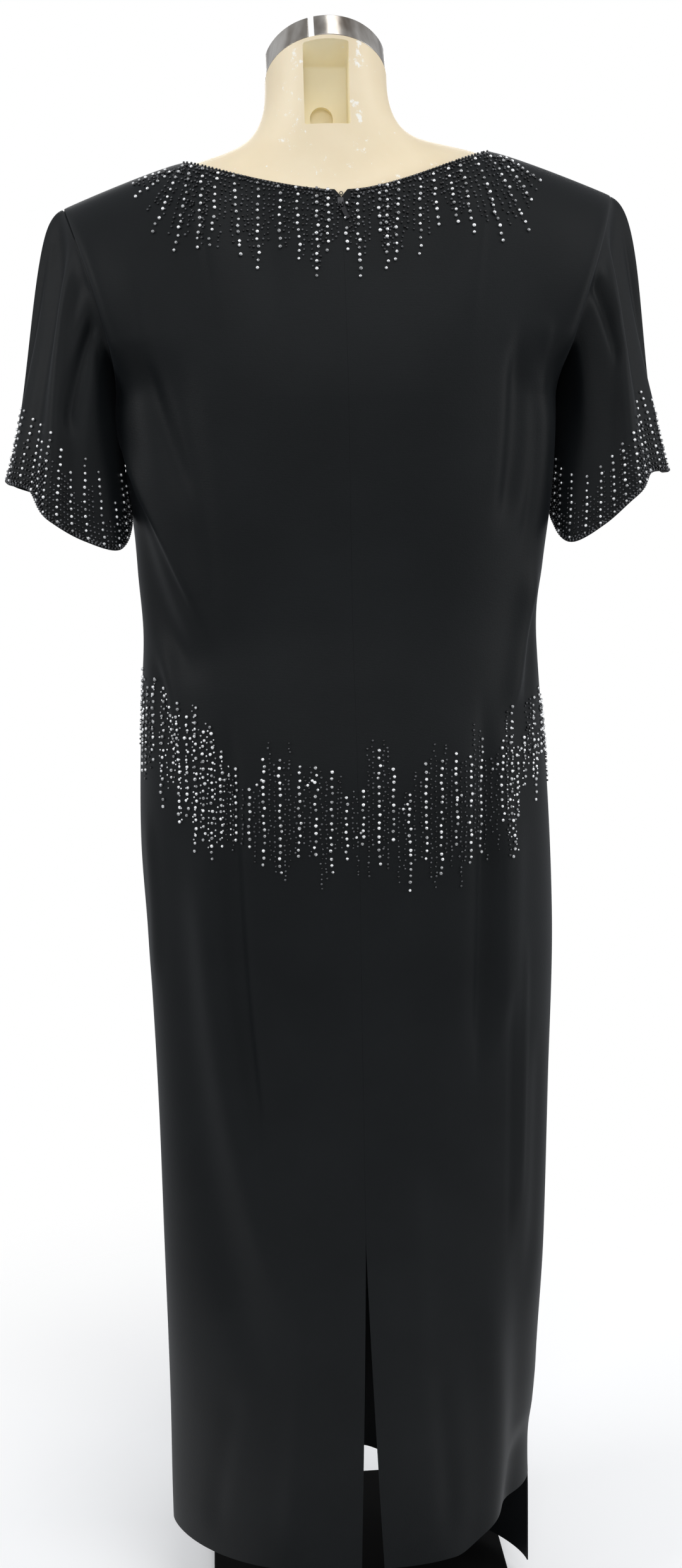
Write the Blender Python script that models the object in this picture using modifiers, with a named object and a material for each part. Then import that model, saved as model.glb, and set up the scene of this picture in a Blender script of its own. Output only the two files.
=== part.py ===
"""Long evening dress on a limbless dress form, at real size in metres, +Z up.

The wearer's left is +X and the front faces -Y.  The origin is on the floor, at the
centre of the base's underside.  The dress is a column gown with short flared sleeves.
Every cloth piece is a thin wall: a grid of outer points worked out from the body
sections, the armhole, the neckline and the folds, and the same grid moved inward.
"""
import math
from collections import namedtuple

import bmesh
import bpy
import numpy as np
from mathutils import Matrix, Vector

# ---------------------------------------------------------------- driving dimensions
CLOTH = 0.0016            # wall of the crepe with its facing
SEAM = 0.0003             # gap between pieces that meet
ARM_SEAM = 0.0004         # the same round the armhole, where the walls twist
HEM_Z = 0.102
SLIT_TOP_Z = 0.445
UNDERARM_Z = 1.201

OVAL = 2.4                # exponent of the body's oval sections
HEM_POINTED = 0.6         # how much more pointed at the sides the section is at the hem
POINTED_Z = 0.400         # where that starts, and how far down it takes
POINTED_SPAN = 0.300

SHOULDER_X = 0.240        # half width at the sleeve seam
SHOULDER_Z = 1.3715
SHOULDER_SLOPE = 1.15     # exponent: how late the shoulder seam drops
RIGHT_SHOULDER_OUT = 0.008
RIGHT_SHOULDER_UP = 0.008
UNDERARM_X = 0.1965
SIDE_LEAN = 1.5           # exponent: how late the side leans out to the shoulder
NECK_X = 0.134            # half width of the neckline
NECK_Z = 1.409
NECK_PART = NECK_X / SHOULDER_X
BACK_NECK_Y = 0.070
BACK_NECK_Z = 1.375
FRONT_NECK_Y = 0.088
FRONT_NECK_Z = 1.340
NECK_SCOOP = 1.6          # exponent of the neckline's height
NECK_ROUND = 0.62         # exponent of the neckline's depth
FACE_LEAN = 1.6           # exponent: how late the faces lean in to the shoulder seam
NECK_ARCH = 2.4           # exponent: how late they turn in over the neckline's part
ARCH_START = 0.25         # part of the half width where the arch gives way to the lean
BACK_ARM_Y = 0.055        # how far the armhole bows to the back
FRONT_ARM_Y = 0.048
ARM_BOW = 0.6             # exponent of the bow over the armhole's height
ARM_BOW_START = 0.15      # part of that height in which the bow begins
ARM_BOW_SIDE = 8          # exponent that keeps the bow near the armhole
BUST_Z = 1.205
BUST_SWELL = 0.010
BUST_PLACE = 0.48         # part of the half width where each side of the bust is fullest
BUST_WIDTH = 0.24
BUST_HEIGHT = 0.060

ZIP_GAP = 0.0055          # half width of the open V over the zip
SLIT_LEFT = 0.009         # how far each edge of the slit stands off the centre at the hem
SLIT_RIGHT = 0.013
BACK_HEM_LIFT = 0.026     # at the right side seam the back's hem rides up
FRONT_HEM_DROP = 0.042    # and the front's hangs lower
HEM_TILT_START = 0.50     # part of the half width where that starts

SLIT_ROWS = 5
BODY_ROWS = 16
ARM_ROWS = 14
FRONT_COLUMNS = 12        # for each half
FRONT_NECK_COLUMN = 4
BACK_COLUMNS = 14
BACK_NECK_COLUMN = 5
SLEEVE_RINGS = 11

SLEEVE_HEM_X = 0.2525     # centre of the sleeve's hem loop
SLEEVE_HEM_Y = 0.004
SLEEVE_RING_STEP = 1.15   # exponent that sets the rings closer at the armhole
SLEEVE_LOW_PUFF = 0.010   # how far the sleeve leaves the armhole at the underarm
SLEEVE_OUTWARD = 0.030
SLEEVE_FLARE = (0.055, 0.022)
SLEEVE_INNER = 0.5        # part of both that is left on the inner side of the arm
SLEEVE_FALL = 1.15

FORM_CLEAR = 0.0092       # form below the cloth's outer face at the body
FORM_SEAT = 0.0034        # the same on the shoulders, where the dress hangs
FORM_EDGE = 0.93          # part of the half width where the shoulder end starts
TORSO_Z = 0.700
NECK_CENTRE_X = 0.006
NECK_RADIUS = 0.0535
NECK_CUT_Z = 1.476
NECK_CUT_SLOPE = 0.50     # the neck's cut rises toward the back
BAND_HEIGHT = 0.020
BAND_WALL = 0.0014
BAND_SLIT = 0.005
BAND_SLIT_ANGLE = math.radians(16.4)
RECESS_X = (-0.0105, 0.0285)
RECESS_Y = 0.022
RECESS_Z = 1.431
RECESS_ROOF = 0.003       # wall left between the recess and the neck's cut
THUMB_X = 0.012
THUMB_RADIUS = 0.010
THUMB_DEPTH = 0.008

BASE_SIZE = (0.306, 0.394)
BASE_CORNER = 0.014
BASE_RIM = 0.0025
BASE_CORNER_STEPS = 5
BASE_RIM_STEPS = 2
BASE_TOP = 0.012
POLE_RADIUS = 0.0125
POLE_X = 0.014

PULL_Z = 1.362
PULL_X = 0.0010
PULL_SWAY = math.radians(22.0)
PULL_DROOP = math.radians(6.0)
PULL_LENGTH = 0.0145
PULL_HALF = 0.0022
PULL_PLATE = 0.0008
PULL_NARROW = 0.75        # width of the plate's lower end
PULL_ARM = 0.0007         # width of each arm beside the window
PULL_TOP = 0.0006         # tab above the pin
WINDOW_LOW = 0.0042
WINDOW_TOP = 0.0020
PIN_RADIUS = 0.0005
PIN_SHORT = 0.0002        # pin shorter than the tab is wide
SLIDER_BODY = 0.0016
SLIDER_HALF = 0.0028
SLIDER_LOW = 0.0024       # slider below and above the pin
SLIDER_TOP = 0.0056
SLIDER_ROUND = 0.0004
TUNNEL = 0.00100          # half height of the hole that the pin passes through
TUNNEL_HALF = 0.0012
BRIDGE = (0.0006, 0.0006, 0.0019)   # half width, wall and half length of the bridge
HOOK_RADIUS = 0.0014
HOOK_WIRE = 0.00035
HOOK_PLACE = 0.52         # part of the way up the V

# body sections: half width, depth to the back and to the front, sideways shift
Section = namedtuple("Section", "z half_width back front shift")
SECTIONS = (
    Section(0.102, 0.1865, 0.107, 0.106, 0.0050),
    Section(0.240, 0.1845, 0.112, 0.109, 0.0050),
    Section(0.400, 0.1875, 0.116, 0.111, 0.0015),
    Section(0.560, 0.1895, 0.120, 0.112, -0.0005),
    Section(0.720, 0.1930, 0.125, 0.114, -0.0005),
    Section(0.800, 0.1930, 0.127, 0.115, 0.0020),
    Section(0.880, 0.1895, 0.124, 0.112, 0.0030),
    Section(0.950, 0.1845, 0.112, 0.107, 0.0035),
    Section(1.000, 0.1820, 0.104, 0.105, 0.0030),
    Section(1.060, 0.1866, 0.104, 0.113, 0.0030),
    Section(1.120, 0.1930, 0.106, 0.124, 0.0010),
    Section(1.201, 0.1965, 0.107, 0.131, 0.0000),
)

# body folds: a line through three points, its half width and its height (below 0: trough)
BACK, FRONT = 1, -1
Fold = namedtuple("Fold", "face x_top z_top x_mid z_mid x_low z_low width height")
FOLDS = (
    Fold(BACK, 0.193, 1.175, 0.160, 1.065, 0.123, 0.975, 0.013, 0.0060),
    Fold(BACK, 0.192, 1.130, 0.171, 1.040, 0.138, 0.950, 0.012, -0.0052),
    Fold(BACK, 0.180, 1.250, 0.160, 1.178, 0.140, 1.105, 0.010, -0.0042),
    Fold(BACK, 0.147, 1.250, 0.131, 1.140, 0.122, 0.990, 0.010, -0.0040),
    Fold(BACK, 0.162, 0.870, 0.155, 0.600, 0.096, 0.280, 0.018, -0.0062),
    Fold(BACK, 0.108, 0.945, 0.113, 0.760, 0.085, 0.500, 0.011, -0.0045),
    Fold(BACK, 0.135, 0.850, 0.128, 0.640, 0.066, 0.330, 0.016, 0.0050),
    Fold(BACK, -0.147, 1.255, -0.150, 1.165, -0.134, 1.080, 0.010, -0.0042),
    Fold(BACK, -0.172, 1.240, -0.176, 1.110, -0.152, 0.980, 0.012, 0.0045),
    Fold(BACK, -0.115, 0.950, -0.113, 0.770, -0.104, 0.570, 0.011, -0.0042),
    Fold(BACK, -0.139, 0.860, -0.139, 0.740, -0.137, 0.620, 0.013, 0.0055),
    Fold(BACK, -0.112, 0.400, -0.124, 0.230, -0.112, 0.040, 0.016, 0.0060),
    Fold(BACK, -0.145, 0.460, -0.152, 0.300, -0.146, 0.150, 0.014, -0.0035),
    Fold(BACK, -0.162, 0.215, -0.148, 0.140, -0.108, 0.020, 0.014, -0.0070),
    Fold(FRONT, 0.176, 1.180, 0.150, 1.080, 0.118, 0.990, 0.013, 0.0045),
    Fold(FRONT, -0.178, 1.190, -0.150, 1.085, -0.112, 0.985, 0.013, 0.0050),
    Fold(FRONT, 0.100, 0.940, 0.104, 0.770, 0.088, 0.560, 0.012, -0.0040),
    Fold(FRONT, -0.100, 0.940, -0.106, 0.760, -0.094, 0.540, 0.012, -0.0045),
    Fold(FRONT, 0.070, 0.620, 0.092, 0.330, 0.110, 0.040, 0.020, 0.0060),
    Fold(FRONT, -0.040, 0.560, -0.058, 0.300, -0.070, 0.040, 0.020, -0.0055),
    Fold(FRONT, -0.110, 0.640, -0.122, 0.340, -0.128, 0.040, 0.018, 0.0060),
)

# sleeve folds: place round the sleeve in degrees (0 outermost, 90 at the back, 270 at
# the front), half width in degrees, height, and where along the sleeve it starts and ends
LEFT, RIGHT = 1, -1
SleeveFold = namedtuple("SleeveFold", "arm angle width height start end")
SLEEVE_FOLDS = (
    SleeveFold(LEFT, 84.0, 13.0, 0.0050, 0.06, 1.30),
    SleeveFold(LEFT, 56.0, 15.0, -0.0070, 0.05, 1.30),
    SleeveFold(LEFT, 112.0, 11.0, -0.0040, 0.10, 0.75),
    SleeveFold(LEFT, 268.0, 14.0, 0.0045, 0.06, 1.30),
    SleeveFold(LEFT, 298.0, 15.0, -0.0055, 0.05, 1.30),
    SleeveFold(RIGHT, 72.0, 13.0, 0.0050, 0.06, 1.30),
    SleeveFold(RIGHT, 46.0, 14.0, -0.0060, 0.05, 1.30),
    SleeveFold(RIGHT, 104.0, 12.0, -0.0035, 0.10, 0.80),
    SleeveFold(RIGHT, 276.0, 14.0, 0.0045, 0.06, 1.30),
    SleeveFold(RIGHT, 306.0, 15.0, -0.0055, 0.05, 1.30),
)

# the sleeve's hem loop: degrees round it (0 outermost, 90 at the back), distance from its
# centre, and the height of each sleeve's hem, which rises outward and toward the front
HemPlace = namedtuple("HemPlace", "angle reach left_z right_z")
SLEEVE_HEM = (
    HemPlace(0.0, 0.0480, 1.137, 1.140),
    HemPlace(35.0, 0.0535, 1.134, 1.143),
    HemPlace(64.0, 0.0590, 1.127, 1.133),
    HemPlace(84.0, 0.0665, 1.103, 1.115),
    HemPlace(110.0, 0.0690, 1.084, 1.088),
    HemPlace(134.0, 0.0770, 1.076, 1.074),
    HemPlace(156.0, 0.0670, 1.092, 1.090),
    HemPlace(180.0, 0.0560, 1.108, 1.106),
    HemPlace(200.0, 0.0560, 1.111, 1.111),
    HemPlace(216.0, 0.0650, 1.112, 1.114),
    HemPlace(240.0, 0.0735, 1.113, 1.122),
    HemPlace(270.0, 0.0700, 1.118, 1.130),
    HemPlace(312.0, 0.0600, 1.130, 1.141),
    HemPlace(360.0, 0.0480, 1.137, 1.140),
)
LEFT_PUFF = 0.063         # how far the cap stands out before it falls
RIGHT_PUFF = 0.084

# steps and limits of the shapes below
SMALL_STEP = 0.004        # for normals
AT_END = 0.9999           # this part of a side or a height counts as its end
AT_START = 0.0001
FOLD_END = 0.25           # part of a fold's length in which it fades
FOLD_FACE = (0.030, 0.040)
SLEEVE_FOLD_START = 0.35
SLEEVE_FOLD_END = 0.15

# ---------------------------------------------------------------- small helpers


def clamp(value, low=0.0, high=1.0):
    return min(max(value, low), high)


def mix(a, b, part):
    return a + (b - a) * part


def ease(value):
    """Smooth step from 0 to 1."""
    value = clamp(value)
    return value * value * (3.0 - 2.0 * value)


def between_rows(table, place):
    """A table's row at a place of its first column, by cubic curves level at both ends."""
    places = [row[0] for row in table]
    place = clamp(place, places[0], places[-1])
    k = min(int(np.searchsorted(places, place, side="right")) - 1, len(places) - 2)
    span = places[k + 1] - places[k]
    part = (place - places[k]) / span
    values = []
    for column in np.array(table).T:
        slopes = np.gradient(column, places)
        slopes[[0, -1]] = 0.0
        start = (2.0 * part ** 3 - 3.0 * part ** 2 + 1.0) * column[k]
        start += (part ** 3 - 2.0 * part ** 2 + part) * span * slopes[k]
        end = (3.0 * part ** 2 - 2.0 * part ** 3) * column[k + 1]
        end += (part ** 3 - part ** 2) * span * slopes[k + 1]
        values.append(float(start + end))
    return type(table[0])(*values)


def oval(across):
    """Depth of the oval section, 0 to 1, at a part of its half width."""
    return (1.0 - min(abs(across), 1.0) ** OVAL) ** (1.0 / OVAL)


def across_steps(columns, neck_column):
    """Parts of the half width from the centre to the side, one of them at the neck point."""
    neck_turn = math.asin(NECK_PART ** (OVAL / 2.0)) / (math.pi / 2.0)
    steps = []
    for k in range(columns + 1):
        if k <= neck_column:
            turn = neck_turn * k / neck_column
        else:
            turn = mix(neck_turn, 1.0, (k - neck_column) / (columns - neck_column))
        steps.append(math.sin(turn * math.pi / 2.0) ** (2.0 / OVAL))
    return steps


def arm_steps(rows):
    """Heights from the underarm (0) to the shoulder (1), closer together at both ends."""
    even = [k / rows for k in range(rows + 1)]
    return [0.4 * part + 0.6 * (1.0 - math.cos(part * math.pi)) / 2.0 for part in even]


# ---------------------------------------------------------------- the body's surface
# A place on it is (face, across, up): across runs from -1 to 1 side to side, and up from
# -1 at the hem over 0 at the underarm to 1 at the neckline and shoulder seam.


def height_at(face, across, up):
    """Height of a place on the body's surface."""
    if up <= 0.0:
        tilt = BACK_HEM_LIFT if face == BACK else -FRONT_HEM_DROP
        tilt *= ease((-across - HEM_TILT_START) / (1.0 - HEM_TILT_START))
        low = mix(UNDERARM_Z, HEM_Z, -up)
        return low + tilt * ease((POINTED_Z - low) / POINTED_SPAN)
    part = abs(across)
    if part < NECK_PART:
        centre = BACK_NECK_Z if face == BACK else FRONT_NECK_Z
        top = mix(centre, NECK_Z, (part / NECK_PART) ** NECK_SCOOP)
    else:
        slope = (part - NECK_PART) / (1.0 - NECK_PART)
        top = mix(NECK_Z, SHOULDER_Z, slope ** SHOULDER_SLOPE)
    return mix(UNDERARM_Z, top, up)


def plain_point(face, across, up):
    """The body's surface without folds."""
    z = height_at(face, across, up)
    row = between_rows(SECTIONS, z if up <= 0.0 else UNDERARM_Z)
    depth = row.back if face == BACK else row.front
    part = abs(across)
    y = depth * oval(across) ** (1.0 + HEM_POINTED * ease((POINTED_Z - z) / POINTED_SPAN))
    if face == FRONT:
        lobe = math.exp(-((part - BUST_PLACE) / BUST_WIDTH) ** 2)
        y += BUST_SWELL * lobe * math.exp(-((z - BUST_Z) / BUST_HEIGHT) ** 2)
    if up <= 0.0:
        return np.array([row.shift + row.half_width * across, face * y, z])
    x = across * mix(UNDERARM_X, SHOULDER_X, up ** SIDE_LEAN)
    neck_y = BACK_NECK_Y if face == BACK else FRONT_NECK_Y
    edge_y = 0.0
    if part < NECK_PART:
        edge_y = neck_y * (1.0 - (part / NECK_PART) ** 2) ** NECK_ROUND
    lean = up ** FACE_LEAN
    arch = 1.0 - math.sqrt(1.0 - up ** NECK_ARCH)
    turn_in = mix(lean, arch, ease((part - ARCH_START) / (NECK_PART - ARCH_START)))
    arm_y = BACK_ARM_Y if face == BACK else FRONT_ARM_Y
    bow = max(math.sin(math.pi * up), 0.0) ** ARM_BOW * ease(up / ARM_BOW_START)
    y = mix(y, edge_y, turn_in) + arm_y * bow * part ** ARM_BOW_SIDE
    x -= RIGHT_SHOULDER_OUT * ease(up) * clamp(-across)
    z += RIGHT_SHOULDER_UP * ease(up) * ease(-2.0 * across)
    return np.array([x, face * y, z])


def at_seam(across, up):
    """Whether a place is on the side seam or the shoulder seam."""
    at_side = abs(across) > AT_END and up <= AT_START
    at_shoulder = up > AT_END and abs(across) > NECK_PART - AT_START
    return at_side or at_shoulder


def seam_square(across, up, normal):
    """Normal that stands square to the seam planes, so that the walls there are parallel."""
    if at_seam(across, up):
        normal[1] = 0.0
    if abs(across) < AT_START:
        normal[0] = 0.0
    return normal / np.linalg.norm(normal)


def surface_normal(point_at, face, across, up):
    """Outward normal of a surface, by small steps that stay on it."""
    high = min(across + SMALL_STEP, 1.0)
    low = max(across - SMALL_STEP, -1.0)
    if up > AT_END and abs(across) > NECK_PART - AT_START:
        if across > 0.0:
            low = max(low, NECK_PART)
        else:
            high = min(high, -NECK_PART)
    side = point_at(face, high, up) - point_at(face, low, up)
    upper = point_at(face, across, min(up + SMALL_STEP, 1.0))
    rise = upper - point_at(face, across, max(up - SMALL_STEP, -1.0))
    return seam_square(across, up, face * np.cross(rise, side))


def curve_at(place, stops, values):
    """Value at a place of the curve of second degree through three points."""
    a, b, c = stops
    to_a = (place - b) * (place - c) / ((a - b) * (a - c))
    to_b = (place - a) * (place - c) / ((b - a) * (b - c))
    to_c = (place - a) * (place - b) / ((c - a) * (c - b))
    return values[0] * to_a + values[1] * to_b + values[2] * to_c


def fold_height(point):
    """Sum of the folds at a point of the plain surface."""
    total = 0.0
    for fold in FOLDS:
        z = point[2]
        if not fold.z_low < z < fold.z_top:
            continue
        line_x = curve_at(z, (fold.z_top, fold.z_mid, fold.z_low),
                          (fold.x_top, fold.x_mid, fold.x_low))
        lean = (fold.x_top - fold.x_low) / (fold.z_top - fold.z_low)
        away = (point[0] - line_x) / math.sqrt(1.0 + lean * lean)
        run = (z - fold.z_low) / (fold.z_top - fold.z_low)
        ends = ease(run / FOLD_END) * ease((1.0 - run) / FOLD_END)
        on_face = ease((fold.face * point[1] + FOLD_FACE[0]) / FOLD_FACE[1])
        total += fold.height * ends * on_face * math.exp(-(away / fold.width) ** 2)
    return total


def folded_point(face, across, up):
    """The dress's outer face, with its folds."""
    point = plain_point(face, across, up)
    height = fold_height(point)
    if abs(height) < 1e-6:
        return point
    return point + height * surface_normal(plain_point, face, across, up)


# ---------------------------------------------------------------- objects and materials


def new_collection(name):
    collection = bpy.data.collections.new(name)
    bpy.context.scene.collection.children.link(collection)
    return collection


def make_material(name, colour, roughness, metallic=0.0):
    material = bpy.data.materials.new(name)
    material.use_nodes = True
    shader = material.node_tree.nodes["Principled BSDF"]
    shader.inputs["Base Color"].default_value = (*colour, 1.0)
    shader.inputs["Roughness"].default_value = roughness
    shader.inputs["Metallic"].default_value = metallic
    return material


def keep(obj, material, collection):
    """Put an object in its collection with its material."""
    for other in list(obj.users_collection):
        other.objects.unlink(obj)
    collection.objects.link(obj)
    obj.data.materials.clear()
    obj.data.materials.append(material)
    return obj


def mesh_object(name, bm, material, collection, sharp=40.0):
    """Object from a bmesh, faces outward and shaded smooth up to the sharp angle."""
    bmesh.ops.recalc_face_normals(bm, faces=bm.faces)
    mesh = bpy.data.meshes.new(name)
    bm.to_mesh(mesh)
    bm.free()
    mesh.shade_smooth()
    mesh.set_sharp_from_angle(angle=math.radians(sharp))
    return keep(bpy.data.objects.new(name, mesh), material, collection)


def wall(name, outer, inner, closed, material, collection):
    """Cloth piece: a closed wall between two matching grids of points (rows, columns)."""
    rows, columns = outer.shape[:2]
    bm = bmesh.new()
    layers = []
    for grid in (outer, inner):
        layers.append([[bm.verts.new(grid[i, j]) for j in range(columns)] for i in range(rows)])
    around = columns if closed else columns - 1
    for i in range(rows - 1):
        for j in range(around):
            k = (j + 1) % columns
            for net in layers:
                bm.faces.new((net[i][j], net[i][k], net[i + 1][k], net[i + 1][j]))
    front, back = layers
    for i in (0, rows - 1):
        for j in range(around):
            k = (j + 1) % columns
            corners = (front[i][j], front[i][k], back[i][k], back[i][j])
            if closed and j < columns // 2:
                # split along the same diagonal as the edge of the back panel it meets
                corners = corners[1:] + corners[:1]
            bm.faces.new(corners)
    if not closed:
        for j in (0, columns - 1):
            for i in range(rows - 1):
                bm.faces.new((front[i][j], front[i + 1][j], back[i + 1][j], back[i][j]))
    return mesh_object(name, bm, material, collection)


def box_cutter(name, low, high, collection):
    """Box between two corners, kept as a cutter."""
    bpy.ops.mesh.primitive_cube_add(size=1.0)
    box = bpy.context.active_object
    box.name = name
    for vertex in box.data.vertices:
        for k in range(3):
            vertex.co[k] = mix(low[k], high[k], vertex.co[k] + 0.5)
    return make_cutter(box, collection)


def make_cutter(obj, collection):
    for other in list(obj.users_collection):
        other.objects.unlink(obj)
    collection.objects.link(obj)
    obj.hide_render = True
    obj.display_type = "WIRE"
    return obj


def boolean(obj, cutter, operation):
    modifier = obj.modifiers.new(operation.title(), "BOOLEAN")
    modifier.operation = operation
    modifier.solver = "EXACT"
    modifier.object = cutter


# ---------------------------------------------------------------- dress panels


def body_rows():
    """Heights of the panels' rows, one of them at the top of the slit."""
    slit_up = (SLIT_TOP_Z - UNDERARM_Z) / (UNDERARM_Z - HEM_Z)
    rows = [mix(-1.0, slit_up, k / SLIT_ROWS) for k in range(SLIT_ROWS)]
    rows += [mix(slit_up, 0.0, k / BODY_ROWS) for k in range(BODY_ROWS)]
    return rows + arm_steps(ARM_ROWS)


def panel_grids(face, acrosses, rows):
    """Outer and inner points of a panel, before its seams are opened."""
    outer = np.zeros((len(rows), len(acrosses), 3))
    inner = np.zeros_like(outer)
    for i, up in enumerate(rows):
        for j, across in enumerate(acrosses):
            point = folded_point(face, across, up)
            normal = surface_normal(folded_point, face, across, up)
            outer[i, j] = point
            inner[i, j] = point - CLOTH * normal
            if at_seam(across, up):
                outer[i, j, 1] += face * SEAM / 2.0
                inner[i, j, 1] += face * SEAM / 2.0
    return outer, inner


def centre_gap(up, z, side):
    """Distance of a back panel's centre edge from the centre line."""
    gap = SEAM / 2.0
    open_up = arm_steps(ARM_ROWS)[-2]
    if up > open_up:
        gap = mix(gap, ZIP_GAP, (up - open_up) / (1.0 - open_up))
    if z < SLIT_TOP_Z:
        wide = SLIT_LEFT if side == LEFT else SLIT_RIGHT
        gap = mix(gap, wide, ((SLIT_TOP_Z - z) / (SLIT_TOP_Z - HEM_Z)) ** 1.2)
    return gap


def build_front(material, collection):
    half = across_steps(FRONT_COLUMNS, FRONT_NECK_COLUMN)
    acrosses = [-part for part in reversed(half[1:])] + half
    outer, inner = panel_grids(FRONT, acrosses, body_rows())
    return wall("front", outer, inner, False, material, collection)


def build_back(name, side, material, collection):
    """Half back panel; its columns are pressed together beside the zip's V and the slit."""
    rows = body_rows()
    half = across_steps(BACK_COLUMNS, BACK_NECK_COLUMN)
    outer, inner = panel_grids(BACK, [side * part for part in half], rows)
    for i, up in enumerate(rows):
        gap = centre_gap(up, outer[i, 0, 2], side)
        start = outer[i, 0, 0]
        for j, part in enumerate(half):
            shift = gap * (1.0 - part) ** 2 - start * (1.0 - part) ** 2 * side
            outer[i, j, 0] += side * shift
            inner[i, j, 0] += side * shift
    return wall(name, outer, inner, False, material, collection)


# ---------------------------------------------------------------- sleeves


def armhole(side):
    """Armhole points, normals and outward directions, from the shoulder round the back."""
    steps = arm_steps(ARM_ROWS)
    places = [(BACK, up) for up in reversed(steps)] + [(FRONT, up) for up in steps[1:-1]]
    points = np.array([folded_point(face, side, up) for face, up in places])
    normals = np.array([surface_normal(folded_point, face, side, up) for face, up in places])
    along = np.roll(points, -1, axis=0) - np.roll(points, 1, axis=0)
    outward = np.cross(along, normals) * side
    outward /= np.linalg.norm(outward, axis=1)[:, None]
    return points, normals, outward


def hem_point(side, angle):
    """Point of the sleeve's hem loop; angle 0 is outermost and 90 degrees is at the back."""
    place = between_rows(SLEEVE_HEM, math.degrees(angle))
    x = side * (SLEEVE_HEM_X + place.reach * math.cos(angle))
    if side == RIGHT:
        x -= RIGHT_SHOULDER_OUT * (1.0 + math.cos(angle)) / 2.0
    y = SLEEVE_HEM_Y + place.reach * math.sin(angle)
    return np.array([x, y, place.left_z if side == LEFT else place.right_z])


def sleeve_fold(side, angle, run):
    """Height of the sleeve's folds at a place on it."""
    total = 0.0
    for fold in SLEEVE_FOLDS:
        if fold.arm != side or not fold.start < run < fold.end:
            continue
        away = (math.degrees(angle) - fold.angle + 180.0) % 360.0 - 180.0
        part = (run - fold.start) / (fold.end - fold.start)
        ends = ease(part / SLEEVE_FOLD_START) * ease((1.0 - part) / SLEEVE_FOLD_END)
        total += fold.height * ends * math.exp(-(away / fold.width) ** 2)
    return total


def loop_normals(grid, side):
    """Outward normals of a grid of closed rings."""
    around = np.roll(grid, -1, axis=1) - np.roll(grid, 1, axis=1)
    along = np.gradient(grid, axis=0)
    normals = np.cross(along, around) * side
    return normals / np.linalg.norm(normals, axis=2)[:, :, None]


def sleeve_grids(side):
    """Outer and inner points of a sleeve, from the armhole seam to the hem."""
    points, edge_normals, outward = armhole(side)
    columns = len(points)
    outer = np.zeros((SLEEVE_RINGS + 1, columns, 3))
    puff = LEFT_PUFF if side == LEFT else RIGHT_PUFF
    for j in range(columns):
        angle = 2.0 * math.pi * j / columns
        top = (1.0 + math.cos(angle)) / 2.0
        start = points[j] + ARM_SEAM * outward[j]
        end = hem_point(side, angle)
        reach = np.linalg.norm(end - start)
        swing = mix(SLEEVE_INNER, 1.0, ease(1.0 + math.cos(angle)))
        leave = outward[j] * mix(SLEEVE_LOW_PUFF, puff, top)
        leave[0] += side * SLEEVE_OUTWARD * swing
        arrive = np.array([side * SLEEVE_FLARE[0] * math.cos(angle) * swing,
                           SLEEVE_FLARE[1] * math.sin(angle), -SLEEVE_FALL * reach])
        for i in range(SLEEVE_RINGS + 1):
            run = (i / SLEEVE_RINGS) ** SLEEVE_RING_STEP
            keep_start = 2.0 * run ** 3 - 3.0 * run ** 2 + 1.0
            push_start = run ** 3 - 2.0 * run ** 2 + run
            push_end = run ** 3 - run ** 2
            outer[i, j] = keep_start * start + (1.0 - keep_start) * end
            outer[i, j] += push_start * leave + push_end * arrive
    normals = loop_normals(outer, side)
    for i in range(1, SLEEVE_RINGS + 1):
        run = (i / SLEEVE_RINGS) ** SLEEVE_RING_STEP
        for j in range(columns):
            outer[i, j] += sleeve_fold(side, 2.0 * math.pi * j / columns, run) * normals[i, j]
    normals = loop_normals(outer, side)
    normals[0] = edge_normals
    return outer, outer - CLOTH * normals


def build_sleeve(name, side, material, collection):
    outer, inner = sleeve_grids(side)
    return wall(name, outer, inner, True, material, collection)


# ---------------------------------------------------------------- zip and hook


def zip_frame():
    """Frame at the pull's pin: +Y stands off the cloth and +Z runs up the centre back."""
    up = (PULL_Z - UNDERARM_Z) / (BACK_NECK_Z - UNDERARM_Z)
    point = folded_point(BACK, 0.0, up)
    normal = surface_normal(folded_point, BACK, 0.0, up)
    outward = Vector(normal)
    upward = Vector((1.0, 0.0, 0.0)).cross(outward)
    lift = TUNNEL + SLIDER_BODY + SEAM
    centre = Vector(point) + outward * lift + Vector((PULL_X, 0.0, 0.0))
    frame = Matrix((Vector((1.0, 0.0, 0.0)), outward, upward)).transposed().to_4x4()
    return Matrix.Translation(centre) @ frame


def box_in(bm, low, high):
    """Add a box between two corners to a bmesh."""
    made = bmesh.ops.create_cube(bm, size=1.0)
    for vertex in made["verts"]:
        for k in range(3):
            vertex.co[k] = mix(low[k], high[k], vertex.co[k] + 0.5)


def part_box(name, low, high, frame, collection):
    """Box between two corners of a frame, used in a union."""
    bm = bmesh.new()
    box_in(bm, low, high)
    bm.transform(frame)
    mesh = bpy.data.meshes.new(name)
    bm.to_mesh(mesh)
    bm.free()
    return make_cutter(bpy.data.objects.new(name, mesh), collection)


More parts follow.
